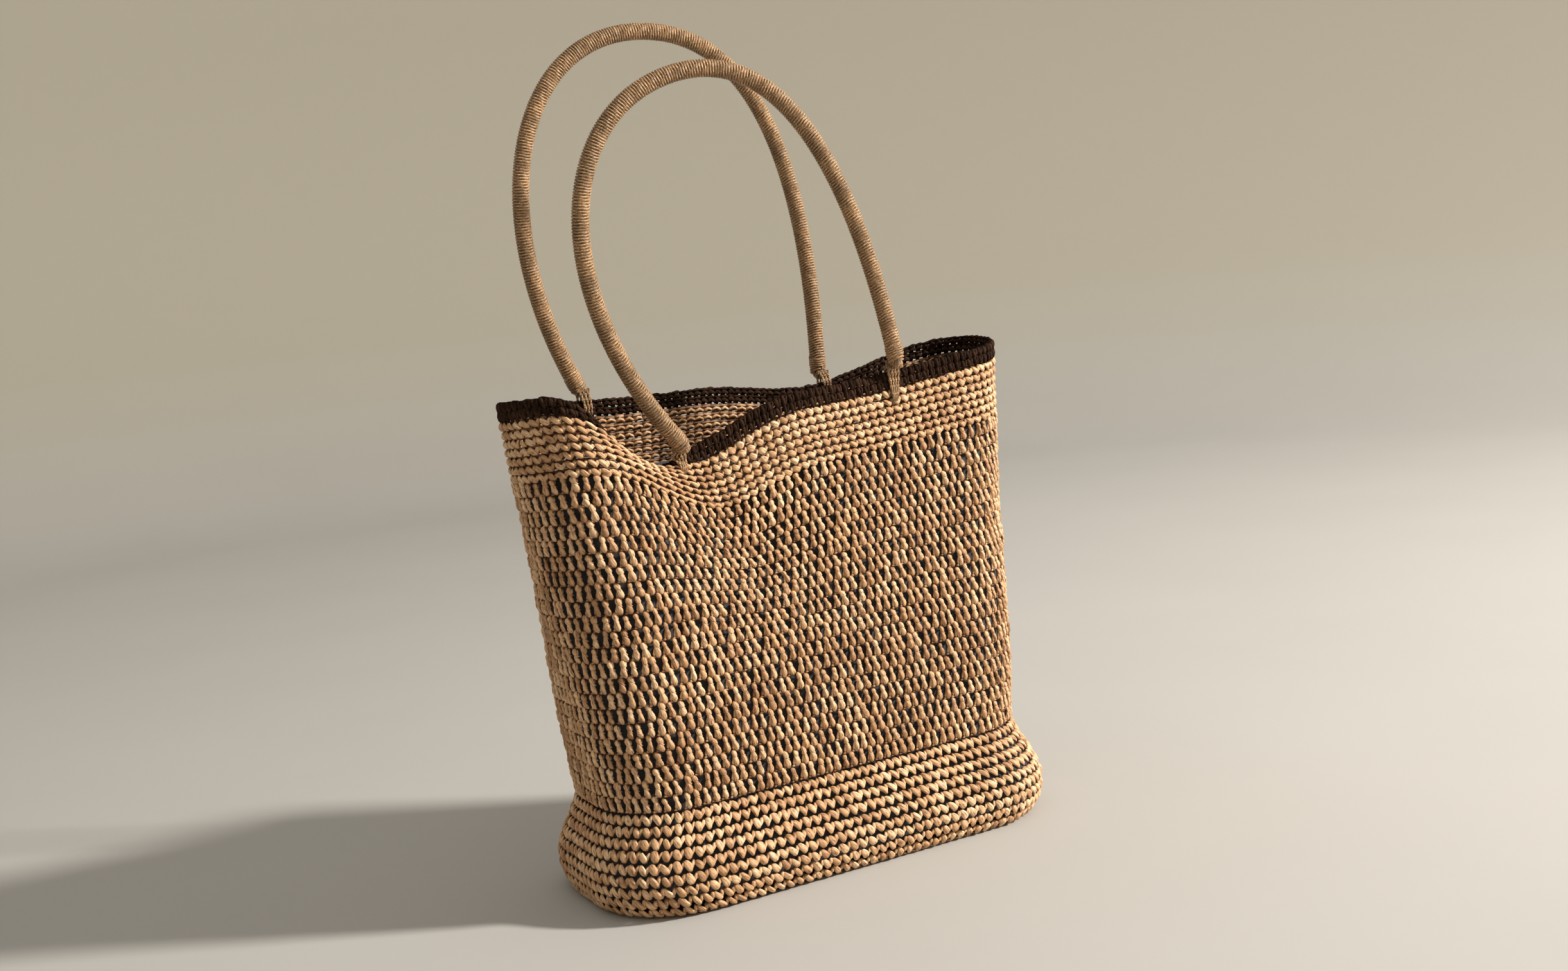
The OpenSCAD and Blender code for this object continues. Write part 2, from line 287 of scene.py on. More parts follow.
def loop_point(u, half_width, half_depth, corner):
    """Point of a rounded rectangle at the share u of its length."""
    sx, sy = half_width - corner, half_depth - corner
    arc = math.pi * corner / 2
    quarter = sx + sy + arc
    s = (u - np.floor(u)) * 4 * quarter
    k = np.minimum(np.floor(s / quarter), 3)
    d = s - k * quarter
    d = np.where((k == 1) | (k == 3), quarter - d, d)
    turn = np.clip((d - sy) / corner, 0, math.pi / 2)
    x = -sx - corner * np.cos(turn) + np.maximum(d - sy - arc, 0)
    y = -np.minimum(d, sy) - corner * np.sin(turn)
    x = np.where((k == 1) | (k == 2), -x, x)
    y = np.where(k >= 2, -y, y)
    return x, y


def wall_point(w, u, v, inset=0.0):
    """Places on the wall's middle surface, moved inward by inset."""
    u, v = np.broadcast_arrays(np.asarray(u, float), np.asarray(v, float))
    z = w.start_height + wall_run(w) * v
    a, b, r = section(w, z)
    x, y = loop_point(u, a - inset, b - inset, r - inset)
    place = np.stack([x, y, z], -1)
    for centre, width, push, first, slant in FOLDS:
        grow = bell(u - slant * (1 - v), centre, width) * ease((v - first) / (1 - first))
        place = place + grow[..., None] * np.array(push)
    centre, width, push, first = ROLL
    over = bell(u, centre, width) * np.clip((v - first) / (1 - first), 0, 1) ** 2
    return place + over[..., None] * np.array(push)


def wall_out(w, u, v):
    """The wall's outward directions."""
    e = 0.001
    low, high = np.maximum(np.asarray(v) - e, -GUIDE_MARGIN), np.asarray(v) + e
    along = wall_point(w, u + e, v) - wall_point(w, u - e, v)
    up = wall_point(w, u, high) - wall_point(w, u, low)
    out = np.cross(along, up)
    return out / np.linalg.norm(out, axis=-1, keepdims=True)


def band_edges(w):
    """Where the bands meet, as v: foot, openwork, upper band, trim, edge round, rim."""
    run = wall_run(w)
    return (
        0.0,
        (w.lower_band - w.start_height) / run,
        1 - (2 * w.trim_round + w.upper_band) / run,
        1 - 2 * w.trim_round / run,
        1 - w.trim_round / run,
        1.0,
    )


def run_along(path):
    """The length along a path at each of its points."""
    return np.concatenate([[0], np.cumsum(np.linalg.norm(np.diff(path, axis=0), axis=1))])


def even_rounds(w, low, high, count):
    """The v of each round's lower edge, and of the last one's top, even along the cloth."""
    v = np.linspace(low, high, 400)
    profile = wall_point(w, 0.5 + 0 * v, v)
    run = run_along(profile)
    return np.interp(np.linspace(0, run[-1], count + 1), run, v)


# ---------------------------------------------------------------- mesh helpers


def plain_object(name, mesh):
    thing = bpy.data.objects.new(name, mesh)
    bpy.context.scene.collection.objects.link(thing)
    return thing


def grid_faces(rows, columns, closed):
    """Quads of a grid whose columns run round or along; rows go up."""
    j, i = np.meshgrid(
        np.arange(rows - 1), np.arange(columns if closed else columns - 1), indexing="ij"
    )
    right = (i + 1) % columns
    quad = [j * columns + i, j * columns + right, (j + 1) * columns + right, (j + 1) * columns + i]
    return np.stack(quad, -1).reshape(-1, 4)


def flowing(keys, count):
    """Rows of numbers on a smooth curve through the keys."""
    keys = np.asarray(keys, float)
    padded = np.concatenate([[2 * keys[0] - keys[1]], keys, [2 * keys[-1] - keys[-2]]])
    t = np.linspace(0, len(keys) - 1, count)
    k = np.minimum(t.astype(int), len(keys) - 2)
    f = (t - k)[:, None]
    p0, p1, p2, p3 = (padded[k + n] for n in range(4))
    return 0.5 * (
        2 * p1
        + (p2 - p0) * f
        + (2 * p0 - 5 * p1 + 4 * p2 - p3) * f**2
        + (3 * p1 - 3 * p2 + p3 - p0) * f**3
    )


def yarn_leg(keys, rings, sides):
    """A leg of yarn through keys of x, y, z, half width and half depth, with round ends.
    Returns points, faces and, for each face corner, its place along and round the yarn."""
    flow = flowing(keys, rings)
    path = flow[:, :3]
    tangent = np.gradient(path, axis=0)
    tangent /= np.linalg.norm(tangent, axis=1, keepdims=True)
    side = np.cross(tangent, [0.0, -1.0, 0.0])
    for n in range(rings):
        if np.linalg.norm(side[n]) < 0.35 and n:
            side[n] = side[n - 1]
        side[n] -= tangent[n] * (side[n] @ tangent[n])
        side[n] /= np.linalg.norm(side[n])
    front = np.cross(side, tangent)
    turn = -np.arange(sides) / sides * 2 * math.pi - math.pi / 2
    ring = (
        path[:, None]
        + flow[:, 3, None, None] * np.cos(turn)[None, :, None] * side[:, None]
        + flow[:, 4, None, None] * np.sin(turn)[None, :, None] * front[:, None]
    )
    tips = [
        path[0] - tangent[0] * flow[0, 4] * 0.6,
        path[-1] + tangent[-1] * flow[-1, 4] * 0.6,
    ]
    points = np.concatenate([ring.reshape(-1, 3), tips])
    run = run_along(path)
    faces, places = [], []
    for j in range(rings - 1):
        for i in range(sides):
            n = (i + 1) % sides
            faces.append((j * sides + i, j * sides + n, (j + 1) * sides + n, (j + 1) * sides + i))
            a, b = i / sides, (i + 1) / sides
            places += [(run[j], a), (run[j], b), (run[j + 1], b), (run[j + 1], a)]
    last = (rings - 1) * sides
    for i in range(sides):
        n = (i + 1) % sides
        faces.append((rings * sides, n, i))
        faces.append((rings * sides + 1, last + i, last + n))
        a, b = i / sides, (i + 1) / sides
        places += [(run[0], (a + b) / 2), (run[0], b), (run[0], a)]
        places += [(run[-1], (a + b) / 2), (run[-1], a), (run[-1], b)]
    return points, faces, places


def yarn_mesh(name, legs):
    """One mesh of several legs, in metres, with its yarn map."""
    points, faces, places = [], [], []
    count = 0
    for rings, sides, keys in legs:
        p, f, where = yarn_leg(np.asarray(keys) * 0.001, rings, sides)
        points.append(p)
        faces += [tuple(int(i) + count for i in face) for face in f]
        places += where
        count += len(p)
    points = np.concatenate(points)
    if signed_volume(points, faces) < 0:
        raise RuntimeError(name + " is inside out")
    mesh = bpy.data.meshes.new(name)
    mesh.from_pydata(points, [], faces)
    # The map runs in centimetres along the yarn and once round it.
    chart = mesh.uv_layers.new(name="yarn")
    chart.data.foreach_set("uv", (np.array(places) * (100.0, 1.0)).ravel())
    mesh.shade_smooth()
    return mesh


def signed_volume(points, faces):
    total = 0.0
    for face in faces:
        a = points[face[0]]
        for n in range(1, len(face) - 1):
            total += np.dot(a, np.cross(points[face[n]], points[face[n + 1]]))
    return total


# ---------------------------------------------------------------- node helpers


def new_tree(name, sockets):
    """A Geometry Nodes tree with named inputs. Returns the tree, its inputs and its end."""
    tree = bpy.data.node_groups.new(name, "GeometryNodeTree")
    tree.interface.new_socket("Geometry", in_out="OUTPUT", socket_type="NodeSocketGeometry")
    tree.interface.new_socket("Geometry", in_out="INPUT", socket_type="NodeSocketGeometry")
    for label, kind in sockets:
        tree.interface.new_socket(label, in_out="INPUT", socket_type="NodeSocket" + kind)
    entry = tree.nodes.new("NodeGroupInput")
    end = tree.nodes.new("NodeGroupOutput")
    return tree, entry.outputs, end


def put(tree, kind, values=None, **settings):
    """A node with its settings, and its inputs set to values or joined to sockets."""
    node = tree.nodes.new(kind)
    for key, value in settings.items():
        setattr(node, key, value)
    for key, value in (values or {}).items():
        if isinstance(value, bpy.types.NodeSocket):
            tree.links.new(value, node.inputs[key])
        else:
            node.inputs[key].default_value = value
    return node


def one(tree, kind, values=None, **settings):
    """The first output of a new node."""
    return put(tree, kind, values, **settings).outputs[0]


def maths(tree, operation, *values):
    return one(tree, "ShaderNodeMath", dict(enumerate(values)), operation=operation)


def weighted(tree, *pairs):
    """The sum of values, each times its weight."""
    total = None
    for value, weight in pairs:
        part = maths(tree, "MULTIPLY", value, weight)
        total = part if total is None else maths(tree, "ADD", total, part)
    return total


def vectors(tree, operation, *values, scale=None):
    inputs = dict(enumerate(values))
    if scale is not None:
        inputs["Scale"] = scale
    return one(tree, "ShaderNodeVectorMath", inputs, operation=operation)


def named(tree, name, kind="FLOAT"):
    return one(tree, "GeometryNodeInputNamedAttribute", {"Name": name}, data_type=kind)


def store(tree, geometry, name, value, domain="POINT"):
    return one(
        tree,
        "GeometryNodeStoreNamedAttribute",
        {"Geometry": geometry, "Name": name, "Value": value},
        data_type="FLOAT",
        domain=domain,
    )


def chance(tree, kind, seed, low, high):
    """A random value between low and high for each element."""
    first, second, end = {"FLOAT_VECTOR": (0, 1, 0), "FLOAT": (2, 3, 1), "INT": (4, 5, 2)}[kind]
    values = {first: low, second: high, "Seed": seed}
    return put(tree, "FunctionNodeRandomValue", values, data_type=kind).outputs[end]


def run_tree(thing, tree, values):
    """Runs a tree over an object and returns the plain mesh that it makes."""
    modifier = thing.modifiers.new(tree.name, "NODES")
    modifier.node_group = tree
    names = {
        item.name: item.identifier
        for item in tree.interface.items_tree
        if item.item_type == "SOCKET" and item.in_out == "INPUT"
    }
    for label, value in values.items():
        modifier[names[label]] = value
    bpy.context.view_layer.update()
    shown = thing.evaluated_get(bpy.context.evaluated_depsgraph_get())
    mesh = bpy.data.meshes.new_from_object(shown)
    thing.modifiers.remove(modifier)
    return mesh


def finished(name, mesh, material, body, slot, *nodes):
    """Puts a finished mesh on its body as a piece, in place of its CAD nodes."""
    mesh.name = name
    mesh.materials.clear()
    mesh.materials.append(material)
    piece = plain_object(name, mesh)
    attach(piece, body)
    if nodes:
        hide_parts(*nodes)
    return piece


def remove(*things):
    for thing in things:
        data = thing.data
        bpy.data.objects.remove(thing)
        if isinstance(data, bpy.types.Mesh):
            bpy.data.meshes.remove(data)
        elif isinstance(data, bpy.types.Curve):
            bpy.data.curves.remove(data)


# ---------------------------------------------------------------- trees


def crochet_tree():
    """Stitches on points of flat fabric, wrapped over a guide surface."""
    name = "Crochet over a guide"
    if name in bpy.data.node_groups:
        return bpy.data.node_groups[name]
    tree, given, end = new_tree(
        name,
        [
            ("Guide", "Object"), ("Stitches", "Collection"), ("Chart scale", "Vector"),
            ("Chart start", "Vector"), ("Size unevenness", "Float"),
            ("Turn unevenness", "Float"), ("Seed", "Int"), ("Yarn", "Material"),
        ],
    )
    seeds = [given["Seed"]] + [maths(tree, "ADD", given["Seed"], n) for n in (1.0, 2.0, 3.0)]
    uneven, turned = given["Size unevenness"], given["Turn unevenness"]
    stitches = one(
        tree,
        "GeometryNodeCollectionInfo",
        {"Collection": given["Stitches"], "Separate Children": True, "Reset Children": True},
    )
    smaller, larger = maths(tree, "SUBTRACT", 1.0, uneven), maths(tree, "ADD", 1.0, uneven)
    swell = chance(tree, "FLOAT_VECTOR", seeds[1], smaller, larger)
    back = maths(tree, "MULTIPLY", turned, -1.0)
    set_out = one(
        tree,
        "GeometryNodeInstanceOnPoints",
        {
            "Points": given["Geometry"],
            "Instance": stitches,
            "Pick Instance": True,
            "Instance Index": chance(tree, "INT", seeds[0], 0, 99),
            "Rotation": chance(tree, "FLOAT_VECTOR", seeds[2], back, turned),
            "Scale": vectors(tree, "MULTIPLY", named(tree, "size", "FLOAT_VECTOR"), swell),
        },
    )
    toned = store(tree, set_out, "tone", chance(tree, "FLOAT", seeds[3], 0.0, 1.0), "INSTANCE")
    made = one(tree, "GeometryNodeRealizeInstances", {"Geometry": toned})
    place = one(tree, "GeometryNodeInputPosition")
    parts = put(tree, "ShaderNodeSeparateXYZ", {0: place}).outputs
    # How far a point stands from the fabric's middle is kept for the painted shade in the yarn's
    # colour.
    deep = store(tree, made, "relief", maths(tree, "ABSOLUTE", parts[1]))
    flat = one(tree, "ShaderNodeCombineXYZ", {0: parts[0], 1: parts[2]})
    chart_place = vectors(
        tree, "MULTIPLY_ADD", flat, given["Chart scale"], given["Chart start"]
    )
    guide = put(tree, "GeometryNodeObjectInfo", {"Object": given["Guide"]})
    chart = named(tree, "chart", "FLOAT_VECTOR")
    middle, outward = (
        one(
            tree,
            "GeometryNodeSampleUVSurface",
            {
                "Mesh": guide.outputs["Geometry"],
                "Value": value,
                "Source UV Map": chart,
                "Sample UV": chart_place,
            },
            data_type="FLOAT_VECTOR",
        )
        for value in (place, named(tree, "outward", "FLOAT_VECTOR"))
    )
    proud = maths(tree, "MULTIPLY", parts[1], -1.0)
    on_guide = vectors(tree, "ADD", middle, vectors(tree, "SCALE", outward, scale=proud))
    wrapped = one(tree, "GeometryNodeSetPosition", {"Geometry": deep, "Position": on_guide})
    yarn = {"Geometry": wrapped, "Material": given["Yarn"]}
    tree.links.new(one(tree, "GeometryNodeSetMaterial", yarn), end.inputs[0])
    return tree


def laid_cord_tree():
    """Cords laid or wound round a path: each ply turns round it once in a lay length."""
    name = "Laid cord on a path"
    if name in bpy.data.node_groups:
        return bpy.data.node_groups[name]
    tree, given, end = new_tree(
        name,
        [
            ("Plies", "Int"), ("Lay length", "Float"), ("Ply offset", "Float"),
            ("Ply radius", "Float"), ("Steps a turn", "Int"), ("Sides", "Int"),
            ("Slant", "Float"), ("Pinch", "Float"), ("Yarn", "Material"),
        ],
    )
    step = maths(tree, "DIVIDE", given["Lay length"], given["Steps a turn"])
    path = {"Curve": given["Geometry"], "Length": step}
    even = one(tree, "GeometryNodeResampleCurve", path, mode="LENGTH")
    copies = put(
        tree,
        "GeometryNodeDuplicateElements",
        {"Geometry": even, "Amount": given["Plies"]},
        domain="SPLINE",
    ).outputs
    # Which ply a spline is, kept on its points
    numbered = store(tree, copies["Geometry"], "ply", copies["Duplicate Index"], "CURVE")
    run = put(tree, "GeometryNodeSplineParameter").outputs["Length"]
    turns = maths(tree, "DIVIDE", run, given["Lay length"])
    share = maths(tree, "DIVIDE", named(tree, "ply"), given["Plies"])
    angle = maths(tree, "MULTIPLY", maths(tree, "ADD", turns, share), 2 * math.pi)
    cosine, sine = maths(tree, "COSINE", angle), maths(tree, "SINE", angle)
    normal, tangent = one(tree, "GeometryNodeInputNormal"), one(tree, "GeometryNodeInputTangent")
    across = vectors(tree, "CROSS_PRODUCT", tangent, normal)
    taper = named(tree, "taper")
    reach = maths(tree, "MULTIPLY", given["Ply offset"], taper)
    offset = vectors(tree, "SCALE", normal, scale=maths(tree, "MULTIPLY", cosine, reach))
    for way, wave, size in ((across, sine, reach), (tangent, cosine, given["Slant"])):
        moved = vectors(tree, "SCALE", way, scale=maths(tree, "MULTIPLY", wave, size))
        offset = vectors(tree, "ADD", offset, moved)
    # The path's length and radius are kept before the points move.
    marked = store(tree, numbered, "run", turns)
    tapered = store(tree, marked, "taper", one(tree, "GeometryNodeInputRadius"))
    uneven = one(
        tree,
        "ShaderNodeTexNoise",
        {"W": turns, "Scale": 1.7, "Detail": 1.0},
        noise_dimensions="1D",
    )
    plump = maths(tree, "ADD", maths(tree, "MULTIPLY", uneven, 0.22), 0.89)
    pit = maths(tree, "POWER", maths(tree, "MAXIMUM", cosine, 0.0), 24.0)
    slim = maths(tree, "SUBTRACT", plump, maths(tree, "MULTIPLY", pit, given["Pinch"]))
    thick = maths(tree, "MULTIPLY", maths(tree, "MULTIPLY", given["Ply radius"], slim), taper)
    sized = one(tree, "GeometryNodeSetCurveRadius", {"Curve": tapered, "Radius": thick})
    placed = one(tree, "GeometryNodeSetPosition", {"Geometry": sized, "Offset": offset})
    ring = {"Resolution": given["Sides"], "Radius": 1.0}
    circle = one(tree, "GeometryNodeCurvePrimitiveCircle", ring, mode="RADIUS")
    around = put(tree, "GeometryNodeSplineParameter").outputs["Factor"]
    profile = store(tree, circle, "around", around)
    radius = one(tree, "GeometryNodeInputRadius")
    tube = {"Curve": placed, "Profile Curve": profile, "Scale": radius, "Fill Caps": True}
    skin = one(tree, "GeometryNodeCurveToMesh", tube)
    smooth = one(tree, "GeometryNodeSetShadeSmooth", {"Geometry": skin})
    made = one(tree, "GeometryNodeRealizeInstances", {"Geometry": smooth})
    yarn = {"Geometry": made, "Material": given["Yarn"]}
    tree.links.new(one(tree, "GeometryNodeSetMaterial", yarn), end.inputs[0])
    return tree


# ---------------------------------------------------------------- materials


def blank_material(name):
    material = bpy.data.materials.new(name)
    material.use_nodes = True
    tree = material.node_tree
    shader = next(n for n in tree.nodes if n.type == "BSDF_PRINCIPLED")
    return material, tree, shader


def ramp(tree, value, stops):
    """Colours along a value: stops are pairs of place and colour."""
    node = put(tree, "ShaderNodeValToRGB", {"Fac": value})
    band = node.color_ramp
    while len(band.elements) < len(stops):
        band.elements.new(0.5)
    for element, (place, tint) in zip(band.elements, stops):
        element.position = place
        element.color = (*tint, 1.0)
    return node.outputs["Color"]


def shaded(tint, share):
    return tuple(c * share for c in tint)


def mixed(tree, share, first, second, kind="MIX"):
    """Two colours mixed. A colour is a socket or three numbers."""
    sides = (c if isinstance(c, bpy.types.NodeSocket) else (*c, 1.0) for c in (first, second))
    values = dict(zip((0, 6, 7), (share, *sides)))
    return put(tree, "ShaderNodeMix", values, data_type="RGBA", blend_type=kind).outputs[2]


def noise(tree, place, scale, detail, **values):
    inputs = {"Vector": place, "Scale": scale, "Detail": detail, **values}
    return put(tree, "ShaderNodeTexNoise", inputs).outputs["Fac"]


def attribute(tree, name):
    return put(tree, "ShaderNodeAttribute", attribute_name=name).outputs["Fac"]


def own_place(tree):
    return put(tree, "ShaderNodeTexCoord").outputs["Object"]


def fibres(tree, place, along, around, detail=3.0):
    """Noise drawn out along the yarn, for its fibres."""
    drawn = one(tree, "ShaderNodeMapping", {"Vector": place, "Scale": (along, around, 1.0)})
    return noise(tree, drawn, 1.0, detail, Roughness=0.62)


def give_finish(tree, shader, tint, rough, height, relief, strength):
    """Joins a colour, a roughness and a relief to the shader."""
    bump = one(
        tree, "ShaderNodeBump", {"Height": height, "Distance": relief, "Strength": strength}
    )
    for label, socket in (("Base Color", tint), ("Roughness", rough), ("Normal", bump)):
        tree.links.new(socket, shader.inputs[label])


def raffia_material(name, dark, middle, pale, roughness=0.55, shine=0.4, relief=0.0006):
    """Paper raffia: fibre streaks along the yarn, creases with painted shade along them, a
    tone for each stitch, and painted shade on yarn that sinks between its neighbours."""
    if name in bpy.data.materials:
        return bpy.data.materials[name]
    material, tree, shader = blank_material(name)
    chart = one(tree, "ShaderNodeUVMap", uv_map="yarn")
    own = attribute(tree, "tone")
    shift = vectors(tree, "ADD", chart, vectors(tree, "SCALE", (37.0, 11.0, 0.0), scale=own))
    streak = fibres(tree, shift, 2.0, 10.0)
    crease = fibres(tree, shift, 1.1, 3.4, 1.0)
    batch = noise(tree, own_place(tree), 16.0, 2.0)
    # The tone is a random tone for each stitch and batch, and painted shade where the creases sink in
    # the bump.
    tone = weighted(tree, (own, 0.26), (batch, 0.30), (crease, 0.44))
    body = ramp(tree, tone, [(0.28, dark), (0.50, middle), (0.76, pale)])
    light = ramp(
        tree,
        streak,
        [(0.36, (0.34, 0.25, 0.20)), (0.47, (0.90, 0.88, 0.86)), (0.66, (1.22, 1.24, 1.28))],
    )
    body = mixed(tree, 0.9, body, light, "MULTIPLY")
    # Painted shade: yarn at the fabric's middle is painted darkest, and yarn 1.6 mm off it has its
    # full colour.
    middle_depth, full_depth = 0.0002, 0.0016
    off_middle = maths(tree, "SUBTRACT", attribute(tree, "relief"), middle_depth)
    stands = maths(tree, "MULTIPLY", off_middle, 1 / (full_depth - middle_depth))
    pit = ramp(
        tree,
        stands,
        [(0.0, (0.14, 0.10, 0.085)), (0.5, (0.36, 0.29, 0.25)), (1.0, (1.0, 1.0, 1.0))],
    )
    # The painted shade multiplies the yarn's colour.
    tint = mixed(tree, 1.0, body, pit, "MULTIPLY")
    rough = maths(tree, "ADD", maths(tree, "MULTIPLY", streak, 0.22), roughness - 0.11)
    shader.inputs["Specular IOR Level"].default_value = shine
    height = weighted(tree, (streak, 0.7), (crease, 0.9))
    give_finish(tree, shader, tint, rough, height, relief, 1.0)
    return material


def cord_material(name, tint, strands=3.0):
    """Fine twisted cord: slanted strands with painted shade in the grooves between them, loose fibres
    and uneven colour.
    """
    if name in bpy.data.materials:
        return bpy.data.materials[name]
    material, tree, shader = blank_material(name)
    spiral = weighted(tree, (attribute(tree, "run"), 5.0), (attribute(tree, "around"), strands))
    twist = maths(tree, "SINE", maths(tree, "MULTIPLY", spiral, 2 * math.pi))
    twist = maths(tree, "ADD", maths(tree, "MULTIPLY", twist, 0.5), 0.5)
    where = own_place(tree)
    fine, broad = noise(tree, where, 900.0, 2.0), noise(tree, where, 60.0, 2.0)
    tone = weighted(tree, (broad, 0.28), (fine, 0.72))
    pale = tuple(min(1, c * 1.9) for c in tint)
    body = ramp(tree, tone, [(0.36, shaded(tint, 0.5)), (0.5, tint), (0.66, pale)])
    # Painted shade in the grooves between the strands, and a little painted light on their crowns
    groove_shade = ramp(
        tree, twist, [(0.0, (0.32, 0.26, 0.21)), (0.4, (0.95, 0.95, 0.95)), (1.0, (1.15, 1.15, 1.15))]
    )
    rough = maths(tree, "ADD", maths(tree, "MULTIPLY", fine, 0.2), 0.42)
    tinted = mixed(tree, 0.8, body, groove_shade, "MULTIPLY")
    give_finish(tree, shader, tinted, rough, twist, 0.0003, 0.8)
    return material


def cloth_material(name, tint):
    """Plain-weave cotton with threads both ways."""
    if name in bpy.data.materials:
        return bpy.data.materials[name]
    material, tree, shader = blank_material(name)
    threads_a_metre = 1100
    chart = put(tree, "ShaderNodeSeparateXYZ", {0: one(tree, "ShaderNodeUVMap", uv_map="cloth")})
    warp, weft = (
        maths(tree, "SINE", maths(tree, "MULTIPLY", way, 2 * math.pi * threads_a_metre))
        for way in chart.outputs[:2]
    )
    weave = maths(tree, "MULTIPLY", warp, weft)
    weave = maths(tree, "ADD", maths(tree, "MULTIPLY", weave, 0.5), 0.5)
    slub = noise(tree, own_place(tree), 120.0, 3.0)
    tone = weighted(tree, (weave, 0.5), (slub, 0.5))
    body = ramp(
        tree, tone, [(0.2, shaded(tint, 0.6)), (0.55, tint), (0.9, shaded(tint, 1.7))]
    )
    rough = maths(tree, "ADD", maths(tree, "MULTIPLY", slub, 0.1), 0.8)
    shader.inputs["Sheen Weight"].default_value = 0.25
    give_finish(tree, shader, body, rough, weave, 0.0002, 0.6)
    return material


# ---------------------------------------------------------------- stitches

# A leg of a stitch is its rings, its sides and its keys. A key is x, y, z, half width and
# half depth in millimetres, seen from -Y.


def jitter(rng):
    """Draws numbers up to a reach either way."""
    return lambda reach: rng.uniform(-reach, reach)


def close_stitch(rng, inside):
    """A close stitch: a broad leg, a slim leg sunk beside it and, where the inside
    shows, two filling bars and the bar on its wrong side."""
    j = jitter(rng)
    broad, slim, lean = 1 + j(0.14), 1 + j(0.2), j(0.5)
    legs = [
        (6, 7, [
            (-3.4 + lean, 0.7, 6.3, 0.9, 0.7),
            (-3.1 + lean, -1.1, 5.7, 1.8 * broad, 1.0),
            (-1.9 + lean, -2.1, 4.2 + j(0.2), 2.4 * broad, 1.1),
            (-0.4, -2.4, 2.4, 2.5 * broad, 1.15),
            (0.9, -1.9, 0.7, 2.2 * broad, 1.1),
            (1.6, -0.2, -0.6, 1.3, 0.8),
        ]),
        (5, 6, [
            (3.6 + lean, 0.7, 6.3, 0.8, 0.7),
            (3.3 + lean, -0.8, 5.6, 1.4 * slim, 0.9),
            (2.8 + lean, -1.5, 3.9 + j(0.3), 1.65 * slim, 1.05),
            (2.1, -1.1, 1.9, 1.4 * slim, 0.9),
            (1.6, 0.0, 0.3, 0.9, 0.7),
        ]),
    ]
    if inside:
        legs += [
            (3, 5, [
                (-4.1, 0.3, 6.4, 2.0, 0.7),
                (-1.4, 0.2, 6.1 + j(0.3), 2.1, 0.8),
                (1.3, 0.3, 6.2 + j(0.3), 2.1, 0.8),
                (4.1, 0.3, 6.4, 2.0, 0.7),
            ]),
            (3, 5, [
                (-4.1, 0.3, 2.2, 2.0, 0.7),
                (0.0, 0.2, 2.4 + j(0.3), 2.2, 0.8),
                (4.1, 0.3, 2.2, 2.0, 0.7),
            ]),
            (5, 6, [
                (-4.1, 1.0, 1.5, 0.9, 0.8),
                (-2.2, 2.2, 3.0 + j(0.4), 1.4, 0.9),
                (0.1, 2.6, 4.3 + j(0.3), 1.6, 1.0),
                (2.3, 2.1, 2.9 + j(0.4), 1.3, 0.9),
                (4.1, 1.0, 1.5, 0.85, 0.8),
            ]),
        ]
    return legs


def dense_stitch(rng):
    """A firm stitch of the trim, which leaves only pinholes."""
    j = jitter(rng)
    broad, lean = 1 + j(0.1), j(0.3)
    return [
        (5, 7, [
            (-2.4 + lean, 0.2, 7.0, 1.2, 1.4),
            (-2.3 + lean, -1.1, 5.9, 2.0 * broad, 1.5),
            (-1.4, -1.6, 3.6, 2.2 * broad, 1.6),
            (-0.3, -1.4, 1.0, 1.9 * broad, 1.5),
            (0.2, -0.7, -1.4 + j(0.8), 0.9, 1.0),
        ]),
        (4, 6, [
            (2.5 + lean, 0.2, 6.9, 1.2, 1.4),
            (2.4 + lean, -0.9, 5.2, 1.8, 1.4),
            (1.9, -1.2, 3.0, 1.9, 1.5),
            (1.4, -0.8, 0.3, 1.6, 1.4),
        ]),
        (5, 6, [
            (-4.1, 0.9, 1.9, 1.3, 1.1),
            (-2.0, 1.5, 3.0 + j(0.4), 1.9, 1.2),
            (0.2, 1.6, 4.0 + j(0.4), 2.1, 1.2),
            (2.2, 1.4, 3.0 + j(0.4), 1.8, 1.2),
            (4.1, 0.9, 1.9, 1.3, 1.1),
        ]),
        (4, 6, [
            (-4.1, 0.2, 6.3, 1.3, 1.5),
            (-1.4, 0.0, 6.7 + j(0.2), 1.5, 1.8),
            (1.4, 0.3, 6.4 + j(0.2), 1.4, 1.7),
            (4.1, 0.2, 6.3, 1.3, 1.5),
        ]),
    ]


